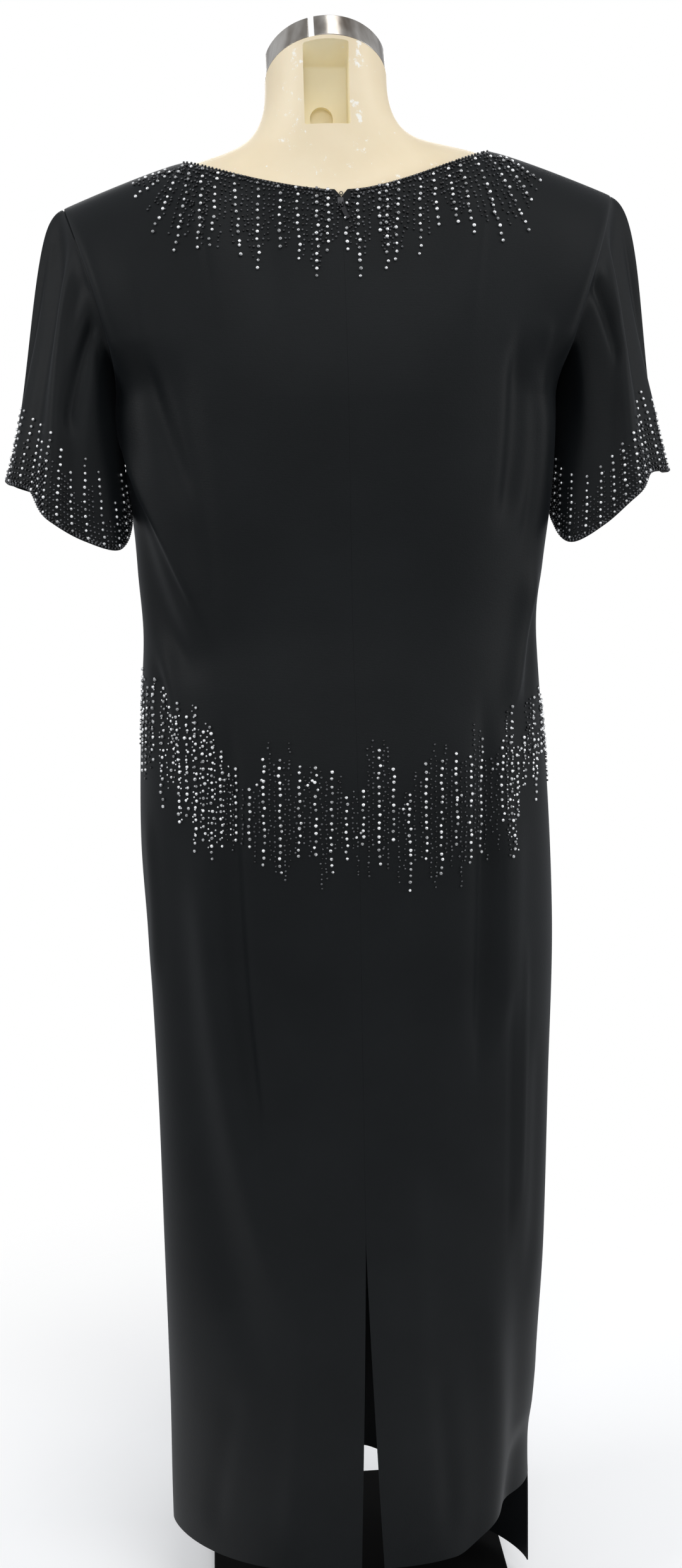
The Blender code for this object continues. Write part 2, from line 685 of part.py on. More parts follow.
def build_slider(material, collection, cutters):
    """Slider body with a bridge that the pull's pin passes under."""
    frame = zip_frame()
    bm = bmesh.new()
    box_in(bm, (-SLIDER_HALF, -TUNNEL - SLIDER_BODY, -SLIDER_LOW),
           (SLIDER_HALF, -TUNNEL, SLIDER_TOP))
    bmesh.ops.bevel(bm, geom=bm.edges[:], offset=SLIDER_ROUND, segments=2, profile=0.5,
                    affect="EDGES")
    bm.transform(frame)
    slider = mesh_object("zip_slider", bm, material, collection)
    half, bridge_wall, length = BRIDGE
    bridge = part_box("slider_bridge", (-half, -TUNNEL - bridge_wall, -length),
                      (half, TUNNEL + bridge_wall, length), frame, cutters)
    tunnel = part_box("slider_tunnel", (-TUNNEL_HALF, -TUNNEL, -TUNNEL_HALF),
                      (TUNNEL_HALF, TUNNEL, TUNNEL_HALF), frame, cutters)
    boolean(slider, bridge, "UNION")
    boolean(slider, tunnel, "DIFFERENCE")
    return slider


def build_pull(material, collection, cutters):
    """Pull tab: a pin, two arms beside the bridge and a plate that narrows downward."""
    sway = Matrix.Rotation(PULL_SWAY, 4, "Y")
    droop = Matrix.Rotation(-PULL_DROOP, 4, "X")
    frame = zip_frame() @ sway @ droop
    half = PULL_PLATE / 2.0
    arm_in = PULL_HALF - PULL_ARM
    bm = bmesh.new()
    box_in(bm, (-PULL_HALF, -half, -PULL_LENGTH), (PULL_HALF, half, PULL_TOP))
    for vertex in bm.verts:
        if vertex.co.z < -PULL_LENGTH / 2.0:
            vertex.co.x *= PULL_NARROW
    pull = mesh_object("zip_pull", bm, material, collection)
    window = part_box("pull_window", (-arm_in, -PULL_PLATE, -WINDOW_LOW),
                      (arm_in, PULL_PLATE, WINDOW_TOP), Matrix.Identity(4), cutters)
    bpy.ops.mesh.primitive_cylinder_add(vertices=12, radius=PIN_RADIUS,
                                        depth=2.0 * PULL_HALF - PIN_SHORT,
                                        rotation=(0.0, math.pi / 2.0, 0.0))
    pin = bpy.context.active_object
    pin.name = "pull_pin"
    make_cutter(pin, cutters)
    boolean(pull, window, "DIFFERENCE")
    boolean(pull, pin, "UNION")
    for obj in (pull, window, pin):
        obj.matrix_world = frame @ obj.matrix_world
    return pull


def build_hook(material, collection):
    """Small wire ring where hook and eye meet, in the V over the zip."""
    bottom_up = arm_steps(ARM_ROWS)[-2]
    bottom = folded_point(BACK, 0.0, bottom_up)
    top = folded_point(BACK, 0.0, 1.0)
    normal = Vector(surface_normal(folded_point, BACK, 0.0, 0.5 * (1.0 + bottom_up)))
    centre = Vector(bottom) + (Vector(top) - Vector(bottom)) * HOOK_PLACE - normal * CLOTH / 2.0
    turn = normal.to_track_quat("Z", "Y")
    bpy.ops.mesh.primitive_torus_add(major_radius=HOOK_RADIUS, minor_radius=HOOK_WIRE,
                                     major_segments=16, minor_segments=8,
                                     location=centre, rotation=turn.to_euler())
    ring = bpy.context.active_object
    ring.name = "hook_eye"
    ring.data.shade_smooth()
    return keep(ring, material, collection)


# ---------------------------------------------------------------- dress form


FORM_COLUMNS = 9          # for each half of each face
FORM_NECK_COLUMN = 4
END_COLUMNS = 4           # across each shoulder end
TORSO_ROWS = 11
TORSO_ARM_ROWS = 8
NECK_RINGS = 6
SEAT_START = 0.15         # from here to here up the armhole the form comes closer
SEAT_SPAN = 0.65
END_BULGE = 0.004         # how far a shoulder end bulges
END_SPAN = 0.6
END_CLOSE = 4             # exponent that closes it at the shoulder
NECK_SQUASH = 1.35        # turns the neckline's places to bearings round the neck
NECK_INWARD = 1.8         # how strongly the shoulders run in, and up, to the neck
NECK_RISE = (0.35, 0.030)
NECK_UPRIGHT = 0.19
BAND_STEPS = 40
CUTTER_REACH = 0.20


def form_point(face, across, up):
    """The form's surface: the plain body surface moved in under the cloth."""
    inset = mix(FORM_CLEAR, FORM_SEAT, ease((up - SEAT_START) / SEAT_SPAN))
    normal = surface_normal(plain_point, face, across, up)
    return plain_point(face, across, up) - inset * normal


def form_steps():
    """Parts of the half width from one shoulder end to the other."""
    half = across_steps(FORM_COLUMNS, FORM_NECK_COLUMN)
    outer = [part for part in half if part > NECK_PART + AT_START]
    scale = (FORM_EDGE - NECK_PART) / (outer[-1] - NECK_PART)
    half = half[:FORM_NECK_COLUMN + 1] + [NECK_PART + (part - NECK_PART) * scale for part in outer]
    return [-part for part in reversed(half[1:])] + half


def form_end(side, up, back_edge, front_edge):
    """Points across one shoulder end, from the back edge to the front edge."""
    full = form_point(BACK, float(side), min(up, 0.0))
    reach = abs(full[0]) - abs(back_edge[0])
    if up > 0.0:
        start = form_point(BACK, float(side), 0.0)
        start_edge = form_point(BACK, side * FORM_EDGE, 0.0)
        reach = mix(abs(start[0]) - abs(start_edge[0]), END_BULGE, ease(up / END_SPAN))
        reach *= (1.0 - up ** END_CLOSE)
    points = []
    for k in range(1, END_COLUMNS):
        part = k / END_COLUMNS
        bulge = oval(2.0 * part - 1.0)
        point = mix(back_edge, front_edge, part)
        point[0] += side * reach * bulge
        points.append(point)
    return points


def form_ring(up):
    """Closed ring round the torso."""
    steps = form_steps()
    back = [form_point(BACK, across, up) for across in steps]
    front = [form_point(FRONT, across, up) for across in reversed(steps)]
    left = form_end(LEFT, up, back[-1], front[0])
    right = form_end(RIGHT, up, back[0], front[-1])
    return back + left + front + right[::-1]


def neck_cut_point(angle):
    """Point of the neck's slanted cut; angle 0 is at +X and 90 degrees is at the back."""
    x = NECK_CENTRE_X + NECK_RADIUS * math.cos(angle)
    y = NECK_RADIUS * math.sin(angle)
    return np.array([x, y, NECK_CUT_Z + NECK_CUT_SLOPE * y])


def neck_rings(loop):
    """Rings that carry the shoulders up into the neck and end on its slanted cut."""
    rings = []
    for i in range(1, NECK_RINGS + 1):
        run = i / NECK_RINGS
        keep_start = 2.0 * run ** 3 - 3.0 * run ** 2 + 1.0
        push_start = run ** 3 - 2.0 * run ** 2 + run
        push_end = run ** 3 - run ** 2
        ring = []
        for point in loop:
            angle = math.atan2(point[1] * NECK_SQUASH, point[0] - NECK_CENTRE_X)
            end = neck_cut_point(angle)
            inward = end - point
            leave = inward * NECK_INWARD
            leave[2] = abs(inward[0]) * NECK_RISE[0] + NECK_RISE[1]
            arrive = np.array([0.0, 0.0, NECK_UPRIGHT])
            place = keep_start * point + (1.0 - keep_start) * end
            ring.append(place + push_start * leave + push_end * arrive)
        rings.append(ring)
    return rings


def build_torso(material, collection, cutters):
    """Torso with shoulders and neck: rings upward, closed along the shoulders."""
    lowest = (TORSO_Z - UNDERARM_Z) / (UNDERARM_Z - HEM_Z)
    ups = [mix(lowest, 0.0, k / TORSO_ROWS) for k in range(TORSO_ROWS)]
    ups += [k / TORSO_ARM_ROWS for k in range(TORSO_ARM_ROWS + 1)]
    bm = bmesh.new()
    rings = []
    for up in ups:
        rings.append([bm.verts.new(point) for point in form_ring(up)])
    for vertex in rings[0]:
        vertex.co.z = TORSO_Z
    count = len(rings[0])
    for low, high in zip(rings, rings[1:]):
        for j in range(count):
            k = (j + 1) % count
            bm.faces.new((low[j], low[k], high[k], high[j]))
    bm.faces.new(rings[0])
    steps = form_steps()
    inside = [j for j, across in enumerate(steps) if abs(across) < NECK_PART + AT_START]
    top_back = [rings[-1][j] for j in inside]
    offset = len(steps) + END_COLUMNS - 1
    top_front = [rings[-1][offset + j] for j in inside]
    loop = top_back + top_front[1:-1]
    last = loop
    for ring in neck_rings([np.array(vertex.co) for vertex in loop]):
        level = [bm.verts.new(point) for point in ring]
        for j in range(len(level)):
            k = (j + 1) % len(level)
            a, b = last[j], last[k]
            bm.faces.new((a, b, level[k], level[j]))
        last = level
    bm.faces.new(last)
    bmesh.ops.remove_doubles(bm, verts=bm.verts, dist=0.00001)
    bmesh.ops.dissolve_degenerate(bm, edges=bm.edges, dist=0.00001)
    torso = mesh_object("form_torso", bm, material, collection, sharp=50.0)
    recess = box_cutter("recess_cutter", (RECESS_X[0], RECESS_Y, RECESS_Z),
                        (RECESS_X[1], CUTTER_REACH, RECESS_Z + CUTTER_REACH), cutters)
    for vertex in recess.data.vertices:
        if vertex.co.z > RECESS_Z + CUTTER_REACH / 2.0:
            vertex.co.z = NECK_CUT_Z + NECK_CUT_SLOPE * vertex.co.y - RECESS_ROOF
    bpy.ops.mesh.primitive_cylinder_add(vertices=24, radius=THUMB_RADIUS, depth=2.0 * THUMB_DEPTH,
                                        location=(THUMB_X, RECESS_Y, RECESS_Z + THUMB_RADIUS + SEAM),
                                        rotation=(math.pi / 2.0, 0.0, 0.0))
    thumb = bpy.context.active_object
    thumb.name = "thumb_cutter"
    make_cutter(thumb, cutters)
    boolean(torso, recess, "DIFFERENCE")
    boolean(torso, thumb, "DIFFERENCE")
    return torso


def build_band(material, collection):
    """Open strip that stands on the neck's cut, square to it."""
    lean = Vector((0.0, -NECK_CUT_SLOPE, 1.0)).normalized()
    half_slit = BAND_SLIT / 2.0 / NECK_RADIUS
    start = math.pi / 2.0 - BAND_SLIT_ANGLE + half_slit
    end = math.pi / 2.0 - BAND_SLIT_ANGLE - half_slit + 2.0 * math.pi
    bm = bmesh.new()
    edges = []
    for lift in (SEAM, BAND_HEIGHT / 2.0, BAND_HEIGHT):
        level = []
        for k in range(BAND_STEPS + 1):
            point = Vector(neck_cut_point(mix(start, end, k / BAND_STEPS)))
            level.append(bm.verts.new(point + lean * lift))
        edges.append(level)
    for low, high in zip(edges, edges[1:]):
        for k in range(BAND_STEPS):
            bm.faces.new((low[k], low[k + 1], high[k + 1], high[k]))
    band = mesh_object("neck_band", bm, material, collection)
    solid = band.modifiers.new("Wall", "SOLIDIFY")
    solid.thickness = BAND_WALL
    solid.offset = -1.0
    solid.use_even_offset = True
    return band


def build_pole(material, collection):
    low = BASE_TOP + SEAM
    high = TORSO_Z - SEAM
    bpy.ops.mesh.primitive_cylinder_add(vertices=24, radius=POLE_RADIUS, depth=high - low,
                                        location=(POLE_X, 0.0, (low + high) / 2.0))
    pole = bpy.context.active_object
    pole.name = "stand_pole"
    pole.data.shade_smooth()
    pole.data.set_sharp_from_angle(angle=math.radians(40.0))
    return keep(pole, material, collection)


def build_base(material, collection):
    """Flat plate with rounded corners and a softened top edge."""
    bpy.ops.mesh.primitive_cube_add(size=1.0)
    base = bpy.context.active_object
    base.name = "stand_base"
    for vertex in base.data.vertices:
        vertex.co.x *= BASE_SIZE[0]
        vertex.co.y *= BASE_SIZE[1]
        vertex.co.z = (vertex.co.z + 0.5) * BASE_TOP
    bm = bmesh.new()
    bm.from_mesh(base.data)
    upright = [edge for edge in bm.edges if abs(edge.verts[0].co.z - edge.verts[1].co.z) > 0.001]
    bmesh.ops.bevel(bm, geom=upright, offset=BASE_CORNER, segments=BASE_CORNER_STEPS,
                    profile=0.5, affect="EDGES")
    rim = [edge for edge in bm.edges if min(vertex.co.z for vertex in edge.verts) > BASE_TOP - 0.0001]
    bmesh.ops.bevel(bm, geom=rim, offset=BASE_RIM, segments=BASE_RIM_STEPS, profile=0.5,
                    affect="EDGES")
    bm.to_mesh(base.data)
    bm.free()
    base.data.shade_smooth()
    base.data.set_sharp_from_angle(angle=math.radians(35.0))
    return keep(base, material, collection)


# ---------------------------------------------------------------- build


def main():
    for obj in list(bpy.data.objects):
        bpy.data.objects.remove(obj, do_unlink=True)
    parts = new_collection("evening_dress_on_form")
    cutters = new_collection("cutters")
    front_cloth = make_material("crepe_front", (0.012, 0.013, 0.015), 0.72)
    back_left_cloth = make_material("crepe_back_left", (0.013, 0.014, 0.016), 0.72)
    back_right_cloth = make_material("crepe_back_right", (0.012, 0.013, 0.014), 0.72)
    left_cloth = make_material("crepe_sleeve_left", (0.013, 0.014, 0.016), 0.72)
    right_cloth = make_material("crepe_sleeve_right", (0.012, 0.013, 0.015), 0.72)
    plastic = make_material("cream_plastic", (0.86, 0.73, 0.51), 0.45)
    chrome = make_material("polished_band", (0.62, 0.60, 0.56), 0.18, 1.0)
    tube = make_material("black_pole", (0.014, 0.014, 0.015), 0.40)
    plate = make_material("black_base", (0.010, 0.010, 0.011), 0.38)
    slider = make_material("zip_slider_black", (0.020, 0.020, 0.022), 0.35, 0.6)
    tab = make_material("zip_pull_black", (0.022, 0.022, 0.024), 0.32, 0.6)
    thread = make_material("hook_wire", (0.030, 0.030, 0.032), 0.40, 0.5)

    build_front(front_cloth, parts)
    build_back("back_left", LEFT, back_left_cloth, parts)
    build_back("back_right", RIGHT, back_right_cloth, parts)
    build_sleeve("sleeve_left", LEFT, left_cloth, parts)
    build_sleeve("sleeve_right", RIGHT, right_cloth, parts)
    build_slider(slider, parts, cutters)
    build_pull(tab, parts, cutters)
    build_hook(thread, parts)
    build_torso(plastic, parts, cutters)
    build_band(chrome, parts)
    build_pole(tube, parts)
    build_base(plate, parts)


main()
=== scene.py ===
"""Looks of the long evening dress on its dress form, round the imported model.

Metres, +Z up, the dress's front faces -Y.  Each cloth piece is a thin shell worked out on the
same surface as its solid, with finer steps and finer creases.  The beads are small meshes
set on those shells.  The form and its neck band are finer versions of their solids.
"""

import math
from collections import namedtuple

import bmesh
import bpy
import numpy as np
from mathutils import Matrix, Vector


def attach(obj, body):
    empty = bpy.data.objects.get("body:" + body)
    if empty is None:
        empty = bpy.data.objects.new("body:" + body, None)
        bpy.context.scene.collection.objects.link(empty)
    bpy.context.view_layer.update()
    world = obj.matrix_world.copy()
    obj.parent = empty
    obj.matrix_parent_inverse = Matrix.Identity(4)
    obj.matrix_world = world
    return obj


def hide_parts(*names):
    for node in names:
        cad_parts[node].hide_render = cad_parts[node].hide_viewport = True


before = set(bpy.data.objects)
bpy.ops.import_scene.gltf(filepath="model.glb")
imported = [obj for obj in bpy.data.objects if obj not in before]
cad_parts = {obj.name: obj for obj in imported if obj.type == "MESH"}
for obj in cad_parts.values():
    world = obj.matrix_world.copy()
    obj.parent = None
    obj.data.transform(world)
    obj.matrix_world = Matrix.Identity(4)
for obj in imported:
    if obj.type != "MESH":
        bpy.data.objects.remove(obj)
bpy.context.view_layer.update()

BODY = "dress_on_form"
BACK, FRONT = 1, -1
LEFT, RIGHT = 1, -1

# ---------------------------------------------------------------- sizes of the solids
SHELL = 0.0012            # cloth thickness that shows at hems and edges
SEAM = 0.0003             # clearance under the neck band
SEWN = 0.0001             # gap left between two shells that are sewn together
SEAM_DIP = 0.0022         # how far the shells sink at the armhole seam
DIP_START, DIP_WIDTH = 0.9955, 0.0045     # parts of a panel's half width
SLEEVE_DIP = 0.007        # part of a sleeve's length
HEM_Z = 0.102
HEM_TURN_Z = 0.400        # below this the seams and hems may lean
HEM_TURN = 0.300
SLIT_TOP_Z = 0.445
UNDERARM_Z = 1.201
OVAL = 2.4
HEM_POINTED = 0.6
SHOULDER_X, SHOULDER_Z = 0.240, 1.3715
RIGHT_SHOULDER_OUT = 0.008
RIGHT_SHOULDER_UP = 0.008
UNDERARM_X = 0.1965
NECK_X, NECK_Z = 0.134, 1.409
NECK_PART = NECK_X / SHOULDER_X
BACK_NECK_Y, BACK_NECK_Z = 0.070, 1.375
FRONT_NECK_Y, FRONT_NECK_Z = 0.088, 1.340
BACK_ARM_Y, FRONT_ARM_Y = 0.055, 0.048
BUST_Z, BUST_REACH = 1.205, 0.060
BUST_PART, BUST_WIDTH = 0.48, 0.24
BUST_SWELL = 0.010
ZIP_GAP = 0.0055
SLIT_LEFT, SLIT_RIGHT = 0.009, 0.013
BACK_HEM_LIFT = 0.026
FRONT_HEM_DROP = 0.078
HEM_TILT = (0.44, 0.78)   # parts of the half width between which the back's hem lifts
FRONT_TILT = (0.05, 0.74)  # and between which the front's hem drops
RIGHT_HEM_IN = 0.0085     # how far the side seam swings in at the right of the hem
SLEEVE_HEM_X, SLEEVE_HEM_Y = 0.2525, 0.004
LEFT_PUFF, RIGHT_PUFF, LOW_PUFF = 0.063, 0.084, 0.010
SLEEVE_OUT = 0.030        # how far a sleeve swings out of its seam
LOW_FLARE, TOP_FLARE = 0.006, 0.085
FORM_CLEAR, FORM_SEAT = 0.0092, 0.0034    # room under the cloth, low down and at the shoulder
FORM_EDGE = 0.93
TORSO_Z = 0.700
NECK_CENTRE_X = 0.006
NECK_RADIUS = 0.0535
NECK_CUT_Z, NECK_CUT_SLOPE = 1.476, 0.50
BAND_HEIGHT, BAND_WALL = 0.020, 0.0014
BAND_EDGE = 0.0030
BAND_SLIT = 0.005
BAND_SLIT_ANGLE = math.radians(16.4)
RECESS_X = (-0.0105, 0.0285)
RECESS_Y, RECESS_Z = 0.022, 1.431
RECESS_ROOF, RECESS_ROUND = 0.003, 0.0016
THUMB_X, THUMB_RADIUS, THUMB_DEPTH = 0.012, 0.010, 0.008
ZIP_OPEN_UP = 0.9639      # the V over the zip starts at this part of the armhole's height


def table(kind, *rows):
    """Rows with named columns."""
    return tuple(kind(*row) for row in rows)


# the body's half width, depths and shift to the left, by height
Section = namedtuple("Section", "z half_width back front shift")
SECTIONS = table(
    Section,
    (0.102, 0.1865, 0.107, 0.106, 0.0050),
    (0.240, 0.1845, 0.112, 0.109, 0.0050),
    (0.400, 0.1875, 0.116, 0.111, 0.0015),
    (0.560, 0.1895, 0.120, 0.112, -0.0005),
    (0.720, 0.1930, 0.125, 0.114, -0.0005),
    (0.800, 0.1930, 0.127, 0.115, 0.0020),
    (0.880, 0.1895, 0.124, 0.112, 0.0030),
    (0.950, 0.1845, 0.112, 0.107, 0.0035),
    (1.000, 0.1820, 0.104, 0.105, 0.0030),
    (1.060, 0.1866, 0.104, 0.113, 0.0030),
    (1.120, 0.1930, 0.106, 0.124, 0.0010),
    (1.201, 0.1965, 0.107, 0.131, 0.0000),
)

# folds of the body: a line through three points, half width, height (below 0: trough)
Fold = namedtuple("Fold", "face x_top z_top x_mid z_mid x_low z_low width height")
FOLDS = table(
    Fold,
    (BACK, 0.193, 1.175, 0.160, 1.065, 0.123, 0.975, 0.013, 0.0060),
    (BACK, 0.192, 1.130, 0.171, 1.040, 0.138, 0.950, 0.012, -0.0052),
    (BACK, 0.180, 1.250, 0.160, 1.178, 0.140, 1.105, 0.010, -0.0042),
    (BACK, 0.147, 1.250, 0.131, 1.140, 0.122, 0.990, 0.010, -0.0040),
    (BACK, 0.162, 0.870, 0.155, 0.600, 0.096, 0.280, 0.018, -0.0062),
    (BACK, 0.108, 0.945, 0.113, 0.760, 0.085, 0.500, 0.011, -0.0045),
    (BACK, 0.135, 0.850, 0.128, 0.640, 0.066, 0.330, 0.016, 0.0050),
    (BACK, -0.147, 1.255, -0.150, 1.165, -0.134, 1.080, 0.010, -0.0042),
    (BACK, -0.172, 1.240, -0.176, 1.110, -0.152, 0.980, 0.012, 0.0045),
    (BACK, -0.115, 0.950, -0.113, 0.770, -0.104, 0.570, 0.011, -0.0042),
    (BACK, -0.139, 0.860, -0.139, 0.740, -0.137, 0.620, 0.013, 0.0055),
    (BACK, -0.112, 0.400, -0.124, 0.230, -0.112, 0.040, 0.016, 0.0060),
    (BACK, -0.145, 0.460, -0.152, 0.300, -0.146, 0.150, 0.014, -0.0035),
    (BACK, -0.162, 0.215, -0.148, 0.140, -0.108, 0.020, 0.014, -0.0070),
    (FRONT, 0.176, 1.180, 0.150, 1.080, 0.118, 0.990, 0.013, 0.0045),
    (FRONT, -0.178, 1.190, -0.150, 1.085, -0.112, 0.985, 0.013, 0.0050),
    (FRONT, 0.100, 0.940, 0.104, 0.770, 0.088, 0.560, 0.012, -0.0040),
    (FRONT, -0.100, 0.940, -0.106, 0.760, -0.094, 0.540, 0.012, -0.0045),
    (FRONT, 0.070, 0.620, 0.092, 0.330, 0.110, 0.040, 0.020, 0.0060),
    (FRONT, -0.040, 0.560, -0.058, 0.300, -0.070, 0.040, 0.020, -0.0055),
    (FRONT, -0.110, 0.640, -0.122, 0.340, -0.128, 0.040, 0.018, 0.0060),
)

# creases that only the shells have; inner is the half width toward the centre line
Crease = namedtuple("Crease", "face x_top z_top x_mid z_mid x_low z_low inner outer height")
CREASES = table(
    Crease,
    (BACK, 0.2230, 1.250, 0.1575, 1.085, 0.1155, 0.985, 0.026, 0.0050, 0.0068),
    (BACK, 0.2250, 1.235, 0.1670, 1.085, 0.1290, 0.990, 0.005, 0.0140, -0.0034),
    (BACK, 0.1840, 1.325, 0.1690, 1.225, 0.1380, 1.110, 0.010, 0.0080, -0.0022),
    (BACK, 0.1490, 1.225, 0.1345, 1.135, 0.1240, 1.030, 0.014, 0.0050, 0.0013),
    (BACK, 0.1560, 1.215, 0.1400, 1.135, 0.1300, 1.040, 0.004, 0.0080, -0.0010),
    (BACK, 0.170, 1.005, 0.158, 0.950, 0.150, 0.880, 0.007, 0.007, 0.0026),
    (BACK, 0.1760, 0.985, 0.1657, 0.930, 0.1560, 0.860, 0.005, 0.005, -0.0030),
    (BACK, 0.187, 0.850, 0.185, 0.760, 0.186, 0.660, 0.0045, 0.0045, 0.0022),
    (BACK, 0.1094, 0.965, 0.1075, 0.790, 0.0880, 0.470, 0.0035, 0.020, -0.0032),
    (BACK, -0.1131, 0.965, -0.1120, 0.790, -0.1060, 0.560, 0.0035, 0.012, -0.0028),
    (BACK, -0.1270, 0.860, -0.1290, 0.730, -0.1300, 0.600, 0.006, 0.006, 0.0022),
    (BACK, -0.1400, 0.700, -0.1400, 0.560, -0.1380, 0.400, 0.003, 0.004, -0.0014),
    (BACK, -0.1540, 0.740, -0.1540, 0.590, -0.1500, 0.430, 0.004, 0.003, 0.0014),
    (BACK, -0.1780, 1.275, -0.1755, 1.235, -0.1720, 1.195, 0.010, 0.004, 0.0014),
    (BACK, -0.1530, 1.275, -0.1447, 1.193, -0.1375, 1.085, 0.005, 0.008, -0.0014),
    (BACK, -0.1440, 1.275, -0.1370, 1.193, -0.1300, 1.095, 0.009, 0.005, 0.0008),
    (BACK, -0.1660, 1.060, -0.1560, 0.992, -0.1400, 0.915, 0.010, 0.006, 0.0056),
    (BACK, -0.1745, 1.050, -0.1660, 0.985, -0.1580, 0.910, 0.004, 0.006, -0.0026),
    (BACK, -0.163, 1.225, -0.166, 1.150, -0.152, 1.060, 0.005, 0.005, -0.0018),
    (BACK, -0.170, 0.640, -0.168, 0.480, -0.160, 0.330, 0.008, 0.008, -0.0020),
    (BACK, 0.050, 0.420, 0.066, 0.260, 0.078, 0.110, 0.012, 0.012, 0.0028),
    (BACK, 0.120, 0.300, 0.140, 0.200, 0.150, 0.110, 0.010, 0.010, -0.0024),
    (BACK, -0.060, 0.330, -0.070, 0.220, -0.072, 0.110, 0.012, 0.012, -0.0026),
    (BACK, -0.040, 0.560, -0.048, 0.420, -0.046, 0.300, 0.012, 0.012, 0.0018),
    (FRONT, 0.150, 1.230, 0.132, 1.160, 0.116, 1.090, 0.007, 0.007, -0.0020),
    (FRONT, -0.154, 1.235, -0.134, 1.165, -0.120, 1.085, 0.007, 0.007, -0.0022),
    (FRONT, 0.168, 0.900, 0.160, 0.740, 0.150, 0.560, 0.010, 0.010, -0.0022),
    (FRONT, -0.170, 0.880, -0.164, 0.700, -0.150, 0.520, 0.010, 0.010, -0.0026),
    (FRONT, 0.020, 0.400, 0.030, 0.260, 0.034, 0.110, 0.012, 0.012, 0.0022),
    (FRONT, -0.150, 0.420, -0.160, 0.260, -0.158, 0.120, 0.010, 0.010, -0.0024),
)

# folds of a sleeve: place round the arm in degrees at the cap and at the hem
SleeveFold = namedtuple("SleeveFold", "arm cap hem width height start end")
SLEEVE_FOLDS = table(
    SleeveFold,
    (LEFT, 50.0, 86.0, 11.0, 0.0054, 0.02, 1.30),
    (LEFT, 24.0, 60.0, 14.0, -0.0062, 0.03, 1.30),
    (LEFT, 100.0, 92.0, 7.0, -0.0044, 0.06, 0.68),
    (LEFT, 114.0, 112.0, 8.0, 0.0022, 0.20, 0.95),
    (LEFT, 134.0, 138.0, 11.0, -0.0016, 0.10, 1.30),
    (LEFT, 74.0, 70.0, 6.0, -0.0010, 0.02, 0.40),
    (LEFT, 4.0, 26.0, 7.0, 0.0020, 0.02, 0.90),
    (LEFT, 310.0, 276.0, 12.0, 0.0045, 0.02, 1.30),
    (LEFT, 334.0, 300.0, 13.0, -0.0058, 0.03, 1.30),
    (LEFT, 262.0, 254.0, 7.0, -0.0036, 0.06, 0.80),
    (LEFT, 236.0, 232.0, 9.0, 0.0024, 0.10, 1.30),
    (RIGHT, 52.0, 88.0, 10.5, 0.0054, 0.02, 1.30),
    (RIGHT, 28.0, 62.0, 14.0, -0.0060, 0.03, 1.30),
    (RIGHT, 82.0, 80.0, 6.0, -0.0042, 0.03, 0.55),
    (RIGHT, 70.0, 68.0, 5.5, 0.0012, 0.03, 0.45),
    (RIGHT, 116.0, 112.0, 10.0, 0.0014, 0.15, 1.30),
    (RIGHT, 140.0, 132.0, 11.0, -0.0016, 0.10, 1.30),
    (RIGHT, 6.0, 30.0, 7.0, 0.0018, 0.02, 0.90),
    (RIGHT, 308.0, 278.0, 12.0, 0.0045, 0.02, 1.30),
    (RIGHT, 332.0, 300.0, 13.0, -0.0058, 0.03, 1.30),
    (RIGHT, 258.0, 250.0, 8.0, -0.0034, 0.06, 0.80),
    (RIGHT, 236.0, 230.0, 9.0, 0.0022, 0.10, 1.30),
)

HemPlace = namedtuple("HemPlace", "angle reach left_z right_z")
SLEEVE_HEM = table(
    HemPlace,
    (0.0, 0.0480, 1.137, 1.134),
    (35.0, 0.0535, 1.134, 1.134),
    (64.0, 0.0590, 1.127, 1.133),
    (84.0, 0.0665, 1.103, 1.115),
    (110.0, 0.0690, 1.084, 1.088),
    (134.0, 0.0770, 1.076, 1.074),
    (156.0, 0.0670, 1.092, 1.090),
    (180.0, 0.0595, 1.108, 1.106),
    (200.0, 0.0590, 1.111, 1.111),
    (216.0, 0.0650, 1.112, 1.114),
    (240.0, 0.0735, 1.113, 1.122),
    (270.0, 0.0700, 1.118, 1.130),
    (312.0, 0.0600, 1.130, 1.141),
    (360.0, 0.0480, 1.137, 1.134),
)

# steps of the shells
SLIT_ROWS = 46
BODY_ROWS = 110
ARM_ROWS = 76
HALF_COLUMNS = 68
NECK_COLUMN = 28
SLEEVE_RINGS = 70

# ---------------------------------------------------------------- the surface, in arrays


def mix(a, b, part):
    return a + (b - a) * part


def ease(value):
    """Smooth step from 0 to 1."""
    value = np.clip(value, 0.0, 1.0)
    return value * value * (3.0 - 2.0 * value)


def unit(vectors):
    return vectors / np.linalg.norm(vectors, axis=-1, keepdims=True)


def cubic(run):
    """Weights of a cubic curve's start, of its slope there and of its slope at the end."""
    return (2.0 * run ** 3 - 3.0 * run ** 2 + 1.0, run ** 3 - 2.0 * run ** 2 + run,
            run ** 3 - run ** 2)


def between_rows(rows, places):
    """A table's columns at many places of its first one, by cubic curves level at both ends."""
    values = np.array(rows, float)
    stops = values[:, 0]
    places = np.clip(places, stops[0], stops[-1])
    k = np.clip(np.searchsorted(stops, places, side="right") - 1, 0, len(stops) - 2)
    span = stops[k + 1] - stops[k]
    part = (places - stops[k]) / span
    start, leave, arrive = cubic(part)
    columns = []
    for column in values.T:
        slopes = np.gradient(column, stops)
        slopes[[0, -1]] = 0.0
        end = (3.0 * part ** 2 - 2.0 * part ** 3) * column[k + 1] + arrive * span * slopes[k + 1]
        columns.append(start * column[k] + leave * span * slopes[k] + end)
    return type(rows[0])(*columns)


